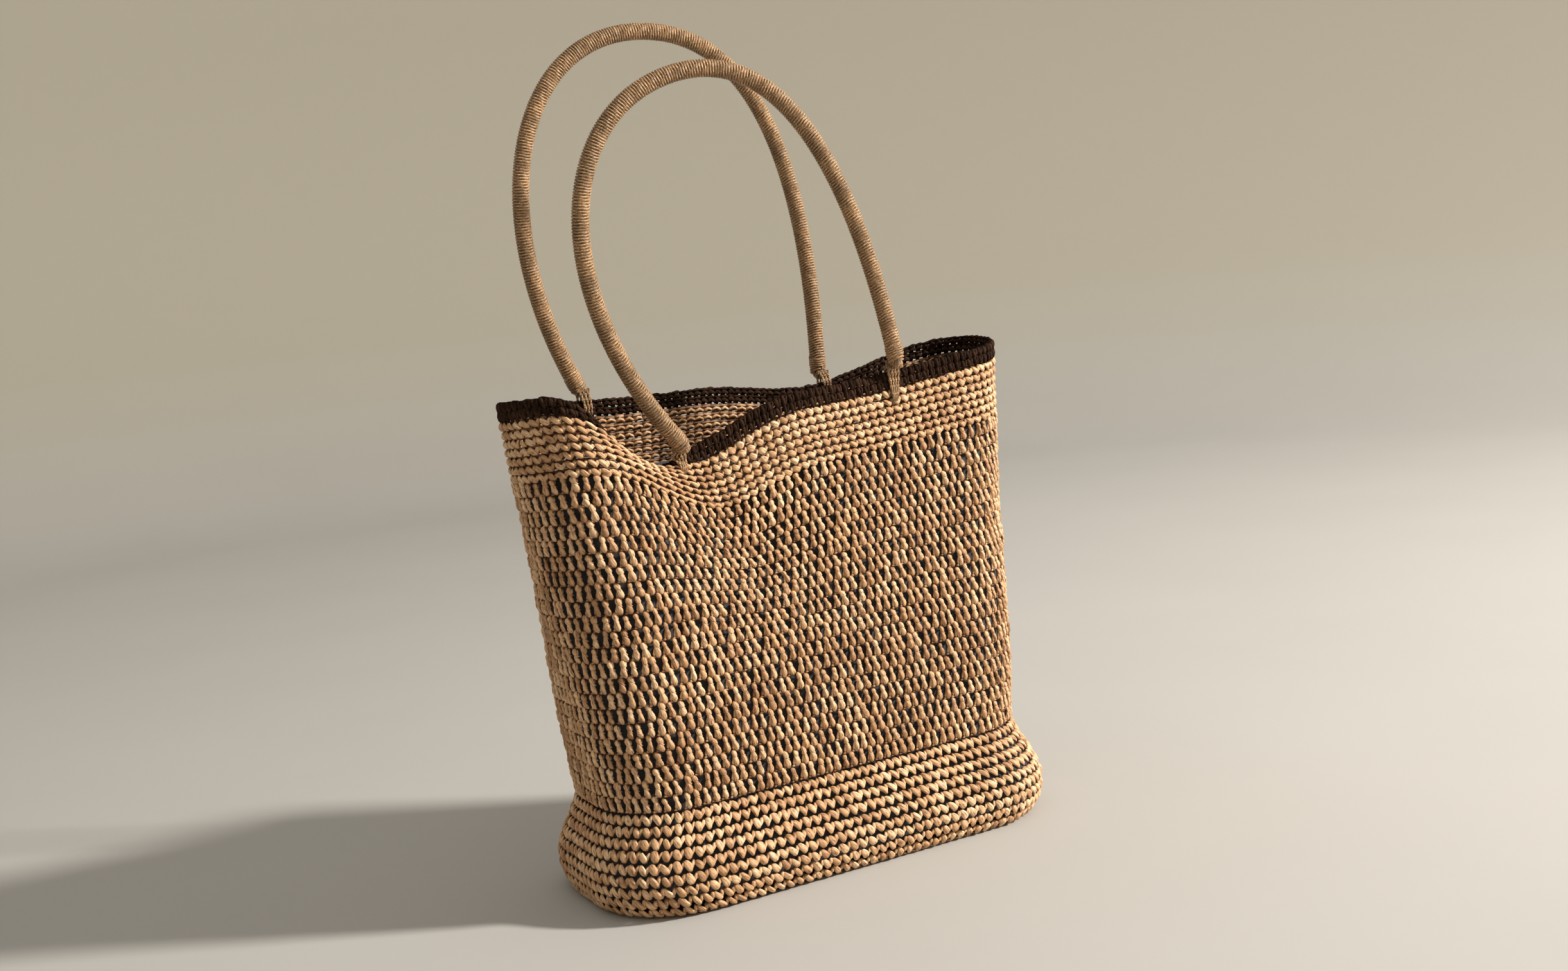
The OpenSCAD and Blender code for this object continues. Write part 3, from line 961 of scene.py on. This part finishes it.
def tall_stitch(rng):
    """A tall stitch: the rounded head, the fat leg below it, the leg that crosses
    behind, the yarn over at the neck and the strand along the round."""
    j = jitter(rng)
    fat, slim, lean = 1 + j(0.14), 1 + j(0.16), j(0.5)
    return [
        (6, 7, [
            (-1.3 + lean, 0.9, 12.0, 0.9, 0.7),
            (-1.3 + lean, -1.1, 11.0, 1.9 * slim, 1.1),
            (-0.9 + lean, -1.8, 9.3, 2.05 * slim, 1.25),
            (-0.1 + lean, -1.4, 7.3, 1.6 * slim, 1.1),
            (0.9, -0.3, 5.4, 1.0, 0.8),
        ]),
        (6, 7, [
            (-1.5 + lean, -0.2, 8.6, 0.9, 0.8),
            (-0.8, -1.4, 7.2, 1.4 * fat, 1.1),
            (0.1, -2.1, 4.9, 2.05 * fat, 1.3),
            (0.8, -1.9, 2.4, 2.3 * fat, 1.3),
            (1.3, -0.2, 0.0, 1.3, 0.9),
        ]),
        (5, 6, [
            (-1.6, 0.1, 0.6, 1.1, 0.8),
            (-1.9, -0.8, 2.7, 1.4 * fat, 1.1),
            (-1.1, -0.6, 5.6, 1.3 * fat, 1.1),
            (0.9 + lean, -0.7, 8.6, 1.3 * slim, 1.0),
            (1.0 + lean, 0.3, 11.0, 0.8, 0.7),
        ]),
        (4, 5, [
            (-2.2 + lean, -0.2, 8.3 + j(0.5), 0.6, 0.5),
            (-0.7 + lean, -2.4, 7.6 + j(0.4), 0.85, 0.6),
            (1.0 + lean, -2.2, 6.3 + j(0.4), 0.85, 0.6),
            (2.1 + lean, -0.3, 5.4 + j(0.5), 0.6, 0.5),
        ]),
        (5, 4, [
            (-3.95, 0.3, 0.1, 0.75, 0.65),
            (-2.6, -1.0, 0.7 + j(0.3), 1.1, 0.75),
            (-0.6, -0.4, 0.3, 0.8, 0.65),
            (1.9, 0.5, 0.0 + j(0.3), 0.7, 0.6),
            (3.95, 0.3, 0.1, 0.75, 0.65),
        ]),
    ]


def plain_stitch(rng):
    """A close stitch in few faces, for the base panel."""
    broad, slim = close_stitch(rng, False)
    return [(5, 5, broad[2]), (4, 4, slim[2])]


def stitch_set(name, shape, count, seed, *options):
    """A collection of uneven copies of one stitch. It stays out of the scene."""
    rng = np.random.default_rng(seed)
    kept = bpy.data.collections.new(name)
    for n in range(count):
        stitch = f"{name} {n}"
        kept.objects.link(bpy.data.objects.new(stitch, yarn_mesh(stitch, shape(rng, *options))))
    return kept


def drop_set(kept):
    remove(*kept.objects)
    bpy.data.collections.remove(kept)


def chart_mesh(name, places, outward, chart):
    """A guide surface from grids of places, outward directions and chart places."""
    rows, columns = places.shape[:2]
    mesh = bpy.data.meshes.new(name)
    faces = grid_faces(rows, columns, False)
    mesh.from_pydata(places.reshape(-1, 3), [], faces.tolist())
    out = mesh.attributes.new("outward", "FLOAT_VECTOR", "POINT")
    out.data.foreach_set("vector", outward.reshape(-1, 3).astype(np.float32).ravel())
    layer = mesh.uv_layers.new(name="chart")
    layer.data.foreach_set("uv", chart.reshape(-1, 2)[faces.ravel()].astype(np.float32).ravel())
    return plain_object(name, mesh)


def guide_grid(rows, columns):
    v, u = np.meshgrid(
        np.linspace(-GUIDE_MARGIN, 1 + GUIDE_MARGIN, rows),
        np.linspace(-GUIDE_MARGIN, 1 + GUIDE_MARGIN, columns),
        indexing="ij",
    )
    span = 1 + 2 * GUIDE_MARGIN
    chart = np.stack([(u + GUIDE_MARGIN) / span, (v + GUIDE_MARGIN) / span], -1)
    return u, v, chart


def wall_guide(w):
    u, v, chart = guide_grid(160, 620)
    return chart_mesh("wall guide", wall_point(w, u, v), wall_out(w, u, v), chart)


def flat_points(name, places, sizes):
    mesh = bpy.data.meshes.new(name)
    mesh.from_pydata(places, [], [])
    size = mesh.attributes.new("size", "FLOAT_VECTOR", "POINT")
    size.data.foreach_set("vector", np.asarray(sizes, np.float32).ravel())
    return plain_object(name, mesh)


def crochet(name, guide, run, stitches, kept, yarn, seed, uneven):
    """Works stitches over a guide that is run high, and returns their mesh. A stitch is
    a place on the flat fabric and a size."""
    points = flat_points(name + " points", *zip(*stitches))
    span = 1 + 2 * GUIDE_MARGIN
    values = {
        "Guide": guide,
        "Stitches": kept,
        "Chart scale": (1 / (FLAT_ROUND * span), 1 / (run * span), 0.0),
        "Chart start": (GUIDE_MARGIN / span, GUIDE_MARGIN / span, 0.0),
        "Size unevenness": uneven[0],
        "Turn unevenness": uneven[1],
        "Seed": seed,
        "Yarn": yarn,
    }
    mesh = run_tree(points, crochet_tree(), values)
    remove(points)
    rest_on_floor(mesh)
    return mesh


def work_rounds(
    name, guide, run, rounds, first, count, height, drift, kept, yarn, seed, uneven=(0.09, 0.08)
):
    """Works rounds of stitches between the given v, and returns their mesh."""
    pitch = FLAT_ROUND / count
    stitches = []
    for n, (low, high) in enumerate(zip(rounds, rounds[1:])):
        start = (drift * (first + n)) % 1.0
        size = (pitch / STITCH_WIDTH, 1.0, (high * run - low * run) / height)
        stitches += [(((i + start) * pitch, 0.0, low * run), size) for i in range(count)]
    return crochet(name, guide, run, stitches, kept, yarn, seed, uneven)


def rest_on_floor(mesh):
    """Presses what would reach below the floor flat on it."""
    co = np.empty(len(mesh.vertices) * 3, np.float32)
    mesh.vertices.foreach_get("co", co)
    co[2::3] = np.maximum(co[2::3], LOWEST)
    mesh.vertices.foreach_set("co", co)
    mesh.update()


def raffia(c):
    return raffia_material("Raffia", c.honey, c.straw, c.cream)


def dark_raffia(c):
    dark, pale = shaded(c.trim, 0.6), shaded(c.trim, 2.0)
    return raffia_material("Dark raffia", dark, c.trim, pale, 0.85, 0.05)


# ---------------------------------------------------------------- operators


class BAG_OT_work_base(bpy.types.Operator):
    """Works the base panel in rounds from its edge to its middle"""

    bl_idname = "bag.work_base"
    bl_label = "Base panel"

    def execute(self, context):
        w, c = context.scene.bag_wall, context.scene.bag_crochet
        a, b, r = (float(x) for x in section(w, np.array(w.start_height)))
        # The rounds reach this share of the way to the middle.
        reached = 0.995
        u, v, chart = guide_grid(60, 400)
        shrink = np.clip(v, -GUIDE_MARGIN, reached) * b
        x, y = loop_point(-u, a - shrink, b - shrink, r * (b - shrink) / b)
        middle = np.stack([x, y, 0 * x + w.start_height], -1)
        down = np.broadcast_to(np.array([0.0, 0.0, -1.0]), middle.shape)
        guide = chart_mesh("base guide", middle, down, chart)
        kept = stitch_set("plain stitch", plain_stitch, 4, c.seed)
        stitches = []
        tall = reached / c.base_rounds
        for n in range(c.base_rounds):
            inset = n * tall
            around = 4 * ((a - inset * b) + (b - inset * b) - (2 - math.pi / 2) * r * (1 - inset))
            count = max(12, round(around / 0.0083))
            pitch = FLAT_ROUND / count
            start = 0.37 * n % 1
            size = (pitch / STITCH_WIDTH, 0.9, tall * b / PLAIN_HEIGHT)
            stitches += [(((i + start) * pitch, 0.0, inset * b), size) for i in range(count)]
        mesh = crochet("base", guide, b, stitches, kept, raffia(c), c.seed + 50, (0.05, 0.04))
        finished("base_panel_rounds", mesh, raffia(c), "bag", "raffia", "base_panel")
        remove(guide)
        drop_set(kept)
        return {"FINISHED"}


class BAG_OT_work_close_bands(bpy.types.Operator):
    """Works the close rounds at the foot and under the trim"""

    bl_idname = "bag.work_close_bands"
    bl_label = "Close bands"

    def execute(self, context):
        w, c = context.scene.bag_wall, context.scene.bag_crochet
        guide = wall_guide(w)
        foot, openwork, upper, trim = band_edges(w)[:4]
        low = even_rounds(w, foot, openwork, c.lower_rounds)
        high = even_rounds(w, upper, trim, c.upper_rounds)
        half = (c.lower_rounds + 1) // 2
        outside = stitch_set("close stitch", close_stitch, 5, c.seed, False)
        both = stitch_set("close stitch of the mouth", close_stitch, 5, c.seed, True)
        work = [
            ("lower_band_rounds_1", low[: half + 1], 0, outside, "lower_band"),
            ("lower_band_rounds_2", low[half:], half, outside, "lower_band"),
            ("upper_band_rounds_1", high[:5], 0, both, "upper_band"),
            ("upper_band_rounds_2", high[4:], 4, both, "upper_band"),
        ]
        for n, (name, rounds, first, kept, node) in enumerate(work):
            mesh = work_rounds(
                name, guide, wall_run(w), rounds, first, c.round_stitches, CLOSE_HEIGHT,
                c.close_drift, kept, raffia(c), c.seed + 10 * n,
            )
            finished(name, mesh, raffia(c), "bag", "raffia", node)
        remove(guide)
        drop_set(outside)
        drop_set(both)
        return {"FINISHED"}


class BAG_OT_work_openwork(bpy.types.Operator):
    """Works the tall rounds of the openwork"""

    bl_idname = "bag.work_openwork"
    bl_label = "Openwork"

    def execute(self, context):
        w, c = context.scene.bag_wall, context.scene.bag_crochet
        guide = wall_guide(w)
        openwork, upper = band_edges(w)[1:3]
        rounds = even_rounds(w, openwork, upper, c.open_rounds)
        kept = stitch_set("tall stitch", tall_stitch, 6, c.seed + 1)
        shares = 5
        cuts = [round(c.open_rounds * n / shares) for n in range(shares + 1)]
        for n, (first, last) in enumerate(zip(cuts, cuts[1:])):
            name = f"openwork_rounds_{n + 1}"
            mesh = work_rounds(
                name, guide, wall_run(w), rounds[first : last + 1], first, c.round_stitches,
                TALL_HEIGHT, c.tall_drift, kept, raffia(c), c.seed + 100 + 10 * n, (0.13, 0.11),
            )
            finished(name, mesh, raffia(c), "bag", "raffia", "openwork_wall")
        remove(guide)
        drop_set(kept)
        return {"FINISHED"}


class BAG_OT_work_trim(bpy.types.Operator):
    """Works the two dark rounds of the trim"""

    bl_idname = "bag.work_trim"
    bl_label = "Trim"

    def execute(self, context):
        w, c = context.scene.bag_wall, context.scene.bag_crochet
        guide = wall_guide(w)
        run = wall_run(w)
        trim, edge, rim = band_edges(w)[3:]
        kept = stitch_set("trim stitch", dense_stitch, 5, c.seed + 2)
        work = [
            ("trim_first_round_stitches", trim, edge, "trim_first_round"),
            ("trim_edge_round_stitches", edge, rim - 0.0006 / run, "trim_edge_round"),
        ]
        for n, (name, low, high, node) in enumerate(work):
            mesh = work_rounds(
                name, guide, run, [low, high], n, c.trim_stitches, DENSE_HEIGHT,
                c.close_drift, kept, dark_raffia(c), c.seed + 200 + n,
            )
            finished(name, mesh, dark_raffia(c), "bag", "dark_raffia", node)
        remove(guide)
        drop_set(kept)
        return {"FINISHED"}


class BAG_OT_sew_lining(bpy.types.Operator):
    """Sews the charcoal lining, a pouch of cotton inside the wall"""

    bl_idname = "bag.sew_lining"
    bl_label = "Lining"

    def execute(self, context):
        w, s = context.scene.bag_wall, context.scene.bag_lining
        columns, rows = 240, 40
        around = np.arange(columns) / columns
        hem = band_edges(w)[2] + s.hem_lap / wall_run(w)
        low = (s.floor_height + 0.004 - w.start_height) / wall_run(w)
        v, u = np.meshgrid(np.linspace(low, hem, rows), around, indexing="ij")
        place, out = wall_point(w, u, v), wall_out(w, u, v)
        # Soft upright wrinkles, only ever inward, that fade out at the bottom
        ripple = 0.5 + 0.5 * np.sin(2 * math.pi * (23 * u + 0.8 * np.sin(7 * v)))
        ripple *= 0.5 + 0.5 * np.sin(2 * math.pi * (9 * u + 1.3 * v))
        wrinkle = (0.0016 * ripple * np.clip((v - low) / 0.1, 0, 1))[..., None]
        layers = []
        for depth in (s.inset, s.inset + s.thickness):
            side = place - out * (depth + wrinkle)
            floor = s.floor_height + (depth - s.inset)
            # The bottom is drawn in over the base panel to a seam along its middle.
            edge = side[0, :, :2]
            seam = np.stack([np.clip(edge[:, 0], -0.1, 0.1), 0 * edge[:, 0]], -1)
            rings = []
            for share in (0.0, 0.25, 0.5, 0.75, 0.93):
                flat = seam + (edge * 0.985 - seam) * share
                pucker = 0.0004 * (1 + np.sin(60 * flat[:, 0])) * (share < 0.9)
                rings.append(np.column_stack([flat, floor + pucker]))
            layers.append(np.concatenate([np.stack(rings), side]))
        outer = layers[0]
        levels = len(outer)
        count = levels * columns
        skin = grid_faces(levels, columns, True)
        faces = [tuple(f) for f in skin] + [tuple(f[::-1] + count) for f in skin]
        top = (levels - 1) * columns
        for i in range(columns):
            n = (i + 1) % columns
            faces.append((top + i, top + n, count + top + n, count + top + i))
        mesh = bpy.data.meshes.new("lining")
        mesh.from_pydata(np.concatenate(layers).reshape(-1, 3), [], faces)
        up = np.cumsum(np.linalg.norm(np.diff(outer[:, 0], axis=0, prepend=outer[:1, 0]), axis=1))
        chart = np.stack(np.broadcast_arrays(around * 0.9, up[:, None]), -1).reshape(-1, 2)
        corners = np.empty(len(mesh.loops), np.int32)
        mesh.loops.foreach_get("vertex_index", corners)
        layer = mesh.uv_layers.new(name="cloth")
        layer.data.foreach_set("uv", chart[corners % count].astype(np.float32).ravel())
        mesh.shade_smooth()
        # Close the slit along the bottom's middle
        work = bmesh.new()
        work.from_mesh(mesh)
        bmesh.ops.remove_doubles(work, verts=work.verts, dist=0.00002)
        work.to_mesh(mesh)
        work.free()
        cloth = cloth_material("Charcoal cotton", s.cloth)
        piece = finished("lining_pouch", mesh, cloth, "bag", "lining_cloth", "lining")
        return {"FINISHED"}


def pivot(w, h, end):
    """Where a handle's end stands, outside the rim and over it."""
    u, side = ENDS[end]
    return wall_point(w, u, 1.0) + np.array([0, side * h.pivot_out, h.pivot_up])


def bezier(p, t):
    t = t[:, None]
    return (1 - t) ** 3 * p[0] + 3 * (1 - t) ** 2 * t * p[1] + 3 * (1 - t) * t * t * p[2] + t**3 * p[3]


def unit(way):
    return way / np.linalg.norm(way)


def handle_path(w, h, side, count=90):
    """Points along a handle from its left end to its right end."""
    start, end = pivot(w, h, side + "_left"), pivot(w, h, side + "_right")
    height = h.front_height if side == "front" else h.back_height
    along_crown, left_reach, right_reach, left_pull, right_pull = HANDLE_SHAPES[side]
    span = np.linalg.norm(end - start)
    axis = (end - start) / span
    up = unit(np.array([0, 0, 1.0]) - axis * axis[2])
    crown, foot = np.array([along_crown, height]), np.array([span, 0.0])
    t = np.linspace(0, 1, count)
    left = bezier([np.zeros(2), np.array(left_pull), crown - [left_reach, 0], crown], t)
    right = bezier([crown, crown + [right_reach, 0], foot + right_pull, foot], t)
    flat = np.concatenate([left, right[1:]])
    return start + flat[:, :1] * axis + flat[:, 1:] * up


def at_lengths(path, run, places):
    """The points of a path at lengths along it."""
    return np.stack([np.interp(places, run, path[:, k]) for k in range(3)], -1)


def cut_path(path, start, end):
    """The stretch of a path between two lengths along it."""
    run = run_along(path)
    return at_lengths(path, run, [start, *run[(run > start) & (run < end)], end])


def path_object(name, paths, taper=0.0):
    """A curve of one line for each path. With a taper, it thins to nothing at its ends
    over that length, as a rounded end does."""
    data = bpy.data.curves.new(name, "CURVE")
    data.dimensions = "3D"
    data.twist_mode = "MINIMUM"
    for points in paths:
        radii = np.ones(len(points))
        if taper:
            run = run_along(points)
            ends = np.array([0.0, taper * 0.15, taper * 0.5])
            places = np.unique(np.concatenate([run, ends, run[-1] - ends]))
            points = at_lengths(points, run, places)
            near = np.clip(np.minimum(places, run[-1] - places) / taper, 0, 1)
            radii = np.sqrt(np.clip(1 - (1 - near) ** 2, 0.02, 1))
        line = data.splines.new("POLY")
        line.points.add(len(points) - 1)
        for point, place, radius in zip(line.points, points, radii):
            point.co = (*place, 1.0)
            point.radius = radius
    return plain_object(name, data)


def lay_cord(name, paths, material, body, slot, nodes, *, taper=0.0, **values):
    """Lays or winds cord along paths and makes it a piece."""
    path = path_object(name + " path", paths, taper)
    settings = {
        "Plies": 1, "Ply offset": 0.0, "Steps a turn": 14, "Sides": 6, "Slant": 0.0,
        "Pinch": 0.0, "Yarn": material, **values,
    }
    mesh = run_tree(path, laid_cord_tree(), settings)
    remove(path)
    return finished(name, mesh, material, body, slot, *nodes)


class BAG_OT_wind_handles(bpy.types.Operator):
    """Lays the rope cores, winds them with twisted cord and whips their ends"""

    bl_idname = "bag.wind_handles"
    bl_label = "Handles"

    def execute(self, context):
        w, h = context.scene.bag_wall, context.scene.bag_handle
        cord = cord_material("Twisted cord", h.cord)
        rope = cord_material("Cotton rope", h.rope, 5.0)
        cord_radius = h.wrap_thickness / 2 + 0.0003
        wound_radius = h.core_radius + h.wrap_thickness
        # The rope's round ends reach past the winding, but not past its radius, so
        # that they clear the lashings as the handle swings.
        past = wound_radius - 0.0004
        for side in ("front", "back"):
            path = handle_path(w, h, side)
            body = side + "_handle"
            first = path[0] - unit(path[1] - path[0]) * past
            last = path[-1] + unit(path[-1] - path[-2]) * past
            lay_cord(
                body + "_rope", [np.concatenate([[first], path, [last]])], rope, body, "rope",
                [body + "_core"], taper=0.0053,
                **{"Plies": 3, "Lay length": 0.026, "Ply offset": h.core_radius * 0.5,
                   "Ply radius": h.core_radius * 0.5, "Steps a turn": 16, "Sides": 10},
            )
            lay_cord(
                body + "_winding", [path], cord, body, "cord", [body + "_wrap"],
                **{"Lay length": h.turn_pitch, "Ply offset": wound_radius - cord_radius,
                   "Ply radius": cord_radius * 1.02, "Slant": 0.0014, "Pinch": 0.3},
            )
            whipping_end = h.whipping_start + h.whipping_length
            whipped = [cut_path(p, h.whipping_start, whipping_end) for p in (path, path[::-1])]
            lay_cord(
                body + "_whipping_turns", whipped, cord, body, "cord", [body + "_whippings"],
                **{"Lay length": 0.0017, "Ply offset": wound_radius - 0.0004,
                   "Ply radius": 0.0009, "Steps a turn": 18, "Slant": -0.0008},
            )
        return {"FINISHED"}


def on_wall(w, u, drop, aside, lift):
    """A place below the rim by a drop, aside along it and lifted off the wall's middle."""
    v = 1 - drop / wall_run(w)
    u = u + aside / (2 * (w.mouth_width + w.mouth_depth))
    return wall_point(w, u, v) + wall_out(w, u, v) * lift


class BAG_OT_lash_handles(bpy.types.Operator):
    """Lashes the handles' ends over the rim with strands of cord"""

    bl_idname = "bag.lash_handles"
    bl_label = "Lashings"

    def execute(self, context):
        w, h = context.scene.bag_wall, context.scene.bag_handle
        cord = cord_material("Twisted cord", h.cord)
        # The strands cup the handle's end a little clear of its winding.
        cup = h.core_radius + h.wrap_thickness + 0.0003 + h.strand_radius + 0.00005
        skim = w.start_height + h.strand_radius
        for end, (u, side) in ENDS.items():
            hub = pivot(w, h, end)
            rim = wall_point(w, u, 1.0)

            def beside(aside, turn):
                turn = math.radians(turn)
                return hub + np.array(
                    [aside, -side * cup * math.cos(turn), -cup * math.sin(turn)]
                )

            def down(aside, *steps):
                """Places down the wall: drop, share of the spread, and lift."""
                return [on_wall(w, u, drop, -side * aside * part, lift) for drop, part, lift in steps]

            paths = []
            for k in (-1.5, -0.5, 0.5, 1.5):
                aside = k * h.strand_spread / 3
                keys = [beside(aside, turn) for turn in (-8, 18, 42)] + down(
                    aside,
                    (0.002, 1.0, skim),
                    (h.strand_drop * 0.4, 0.75, skim),
                    (h.strand_drop * 0.75, 0.45, skim),
                    (h.strand_drop, 0.3, 0.0),
                )
                paths.append(flowing(keys, 40))
            for k in (-1, 0, 1):
                aside = k * h.strand_spread / 3
                over_rim = rim + np.array([aside, -side * 0.0012, 0.0042])
                keys = [beside(aside, -6), beside(aside, 10), over_rim] + down(
                    aside,
                    (0.0015, 1.0, -skim),
                    (h.strand_drop * 0.35, 0.8, -skim),
                    (h.strand_drop * 0.5, 0.6, 0.0),
                )
                paths.append(flowing(keys, 30))
            lay_cord(
                end + "_lashing_strands", paths, cord, "bag", "cord", [end + "_lashing"],
                taper=0.0008,
                **{"Plies": 2, "Lay length": 0.0105, "Ply offset": h.strand_radius * 0.42,
                   "Ply radius": h.strand_radius * 0.66, "Steps a turn": 12},
            )
        return {"FINISHED"}


class BAG_OT_set_stage(bpy.types.Operator):
    """Sets the floor, the soft studio light and the camera"""

    bl_idname = "bag.set_stage"
    bl_label = "Stage"

    def execute(self, context):
        s = context.scene.bag_stage
        context.scene.view_settings.view_transform = "Standard"
        # A round floor that curves up into a wall all round, so that no horizon shows
        flat_reach, bend, wall_top, around = 2.7, 1.3, 5.0, 96
        turn = np.linspace(0, math.pi / 2, 14)
        reach = flat_reach + bend * np.sin(turn)
        reach = np.concatenate([[flat_reach / 2], reach, [flat_reach + bend]])
        height = np.concatenate([[0.0], bend * (1 - np.cos(turn)), [wall_top]])
        angle = np.arange(around) / around * 2 * math.pi
        across, along = reach[:, None] * np.cos(angle), reach[:, None] * np.sin(angle)
        rings = np.stack([across, along, np.repeat(height[:, None], around, 1)], -1)
        faces = [tuple(int(i) for i in face) for face in grid_faces(len(reach), around, True)[:, ::-1]]
        faces.append(tuple(range(around)))
        mesh = bpy.data.meshes.new("floor")
        mesh.from_pydata(rings.reshape(-1, 3), [], faces)
        mesh.shade_smooth()
        floor = plain_object("floor", mesh)
        material, tree, shader = blank_material("Pale floor")
        where = own_place(tree)
        cloud = noise(tree, where, 3.0, 4.0)
        tint = ramp(tree, cloud, [(0.3, shaded(s.floor, 0.97)), (0.7, tuple(s.floor))])
        parts = put(tree, "ShaderNodeSeparateXYZ", {0: where})
        rise = maths(tree, "MINIMUM", maths(tree, "MULTIPLY", parts.outputs[2], 2.5), 1.0)
        tree.links.new(mixed(tree, rise, tint, tuple(s.backdrop)), shader.inputs["Base Color"])
        shader.inputs["Roughness"].default_value = 0.85
        mesh.materials.append(material)

        world = bpy.data.worlds.new("Soft surround")
        context.scene.world = world
        world.use_nodes = True
        sky = world.node_tree.nodes["Background"]
        sky.inputs["Color"].default_value = (1.0, 0.97, 0.93, 1.0)
        sky.inputs["Strength"].default_value = s.sky

        data = bpy.data.lights.new("key", "AREA")
        data.shape = "DISK"
        data.size = 0.4
        data.energy = s.key_power
        data.color = (1.0, 0.94, 0.85)
        lamp = bpy.data.objects.new("key", data)
        context.scene.collection.objects.link(lamp)
        lamp.location = (2.8, -2.05, 2.3)
        aim = Vector((0.0, 0.0, 0.22)) - lamp.location
        lamp.rotation_mode = "QUATERNION"
        lamp.rotation_quaternion = aim.to_track_quat("-Z", "Y")

        data = bpy.data.cameras.new("camera")
        data.lens = 39.36
        data.sensor_width = 36.0
        data.clip_start, data.clip_end = 0.05, 60.0
        camera = bpy.data.objects.new("camera", data)
        context.scene.collection.objects.link(camera)
        right, up = Vector((0.87719, -0.46819, -0.10677)), Vector((0.14791, 0.05189, 0.98769))
        back = right.cross(up)
        turn = Matrix((right, up, back)).transposed()
        camera.matrix_world = Matrix.Translation((-0.604, -1.188, 0.441)) @ turn.to_4x4()
        context.scene.camera = camera
        return {"FINISHED"}


class BAG_PT_panel(bpy.types.Panel):
    """Lists the steps of making the bag"""

    bl_idname = "BAG_PT_panel"
    bl_label = "Beach Bag"
    bl_space_type = "VIEW_3D"
    bl_region_type = "UI"
    bl_category = "Beach Bag"

    def draw(self, context):
        column = self.layout.column(align=True)
        for step in STEPS:
            column.operator(step.bl_idname)


SETTINGS = {
    "bag_wall": BagWallSettings,
    "bag_crochet": BagCrochetSettings,
    "bag_handle": BagHandleSettings,
    "bag_lining": BagLiningSettings,
    "bag_stage": BagStageSettings,
}
STEPS = (
    BAG_OT_set_stage,
    BAG_OT_work_base,
    BAG_OT_work_close_bands,
    BAG_OT_work_openwork,
    BAG_OT_work_trim,
    BAG_OT_sew_lining,
    BAG_OT_wind_handles,
    BAG_OT_lash_handles,
)


def register():
    for settings in SETTINGS.values():
        bpy.utils.register_class(settings)
    for name, settings in SETTINGS.items():
        setattr(bpy.types.Scene, name, PointerProperty(type=settings))
    for step in STEPS:
        bpy.utils.register_class(step)
    bpy.utils.register_class(BAG_PT_panel)


def unregister():
    bpy.utils.unregister_class(BAG_PT_panel)
    for step in reversed(STEPS):
        bpy.utils.unregister_class(step)
    for name, settings in SETTINGS.items():
        delattr(bpy.types.Scene, name)
        bpy.utils.unregister_class(settings)


def main():
    for thing in [o for o in bpy.context.scene.objects if o.type in ("CAMERA", "LIGHT")]:
        bpy.data.objects.remove(thing)
    register()
    bpy.ops.bag.set_stage()
    bpy.ops.bag.work_base()
    bpy.ops.bag.work_close_bands()
    bpy.ops.bag.work_openwork()
    bpy.ops.bag.work_trim()
    bpy.ops.bag.sew_lining()
    bpy.ops.bag.wind_handles()
    bpy.ops.bag.lash_handles()


if __name__ == "__main__":
    main()
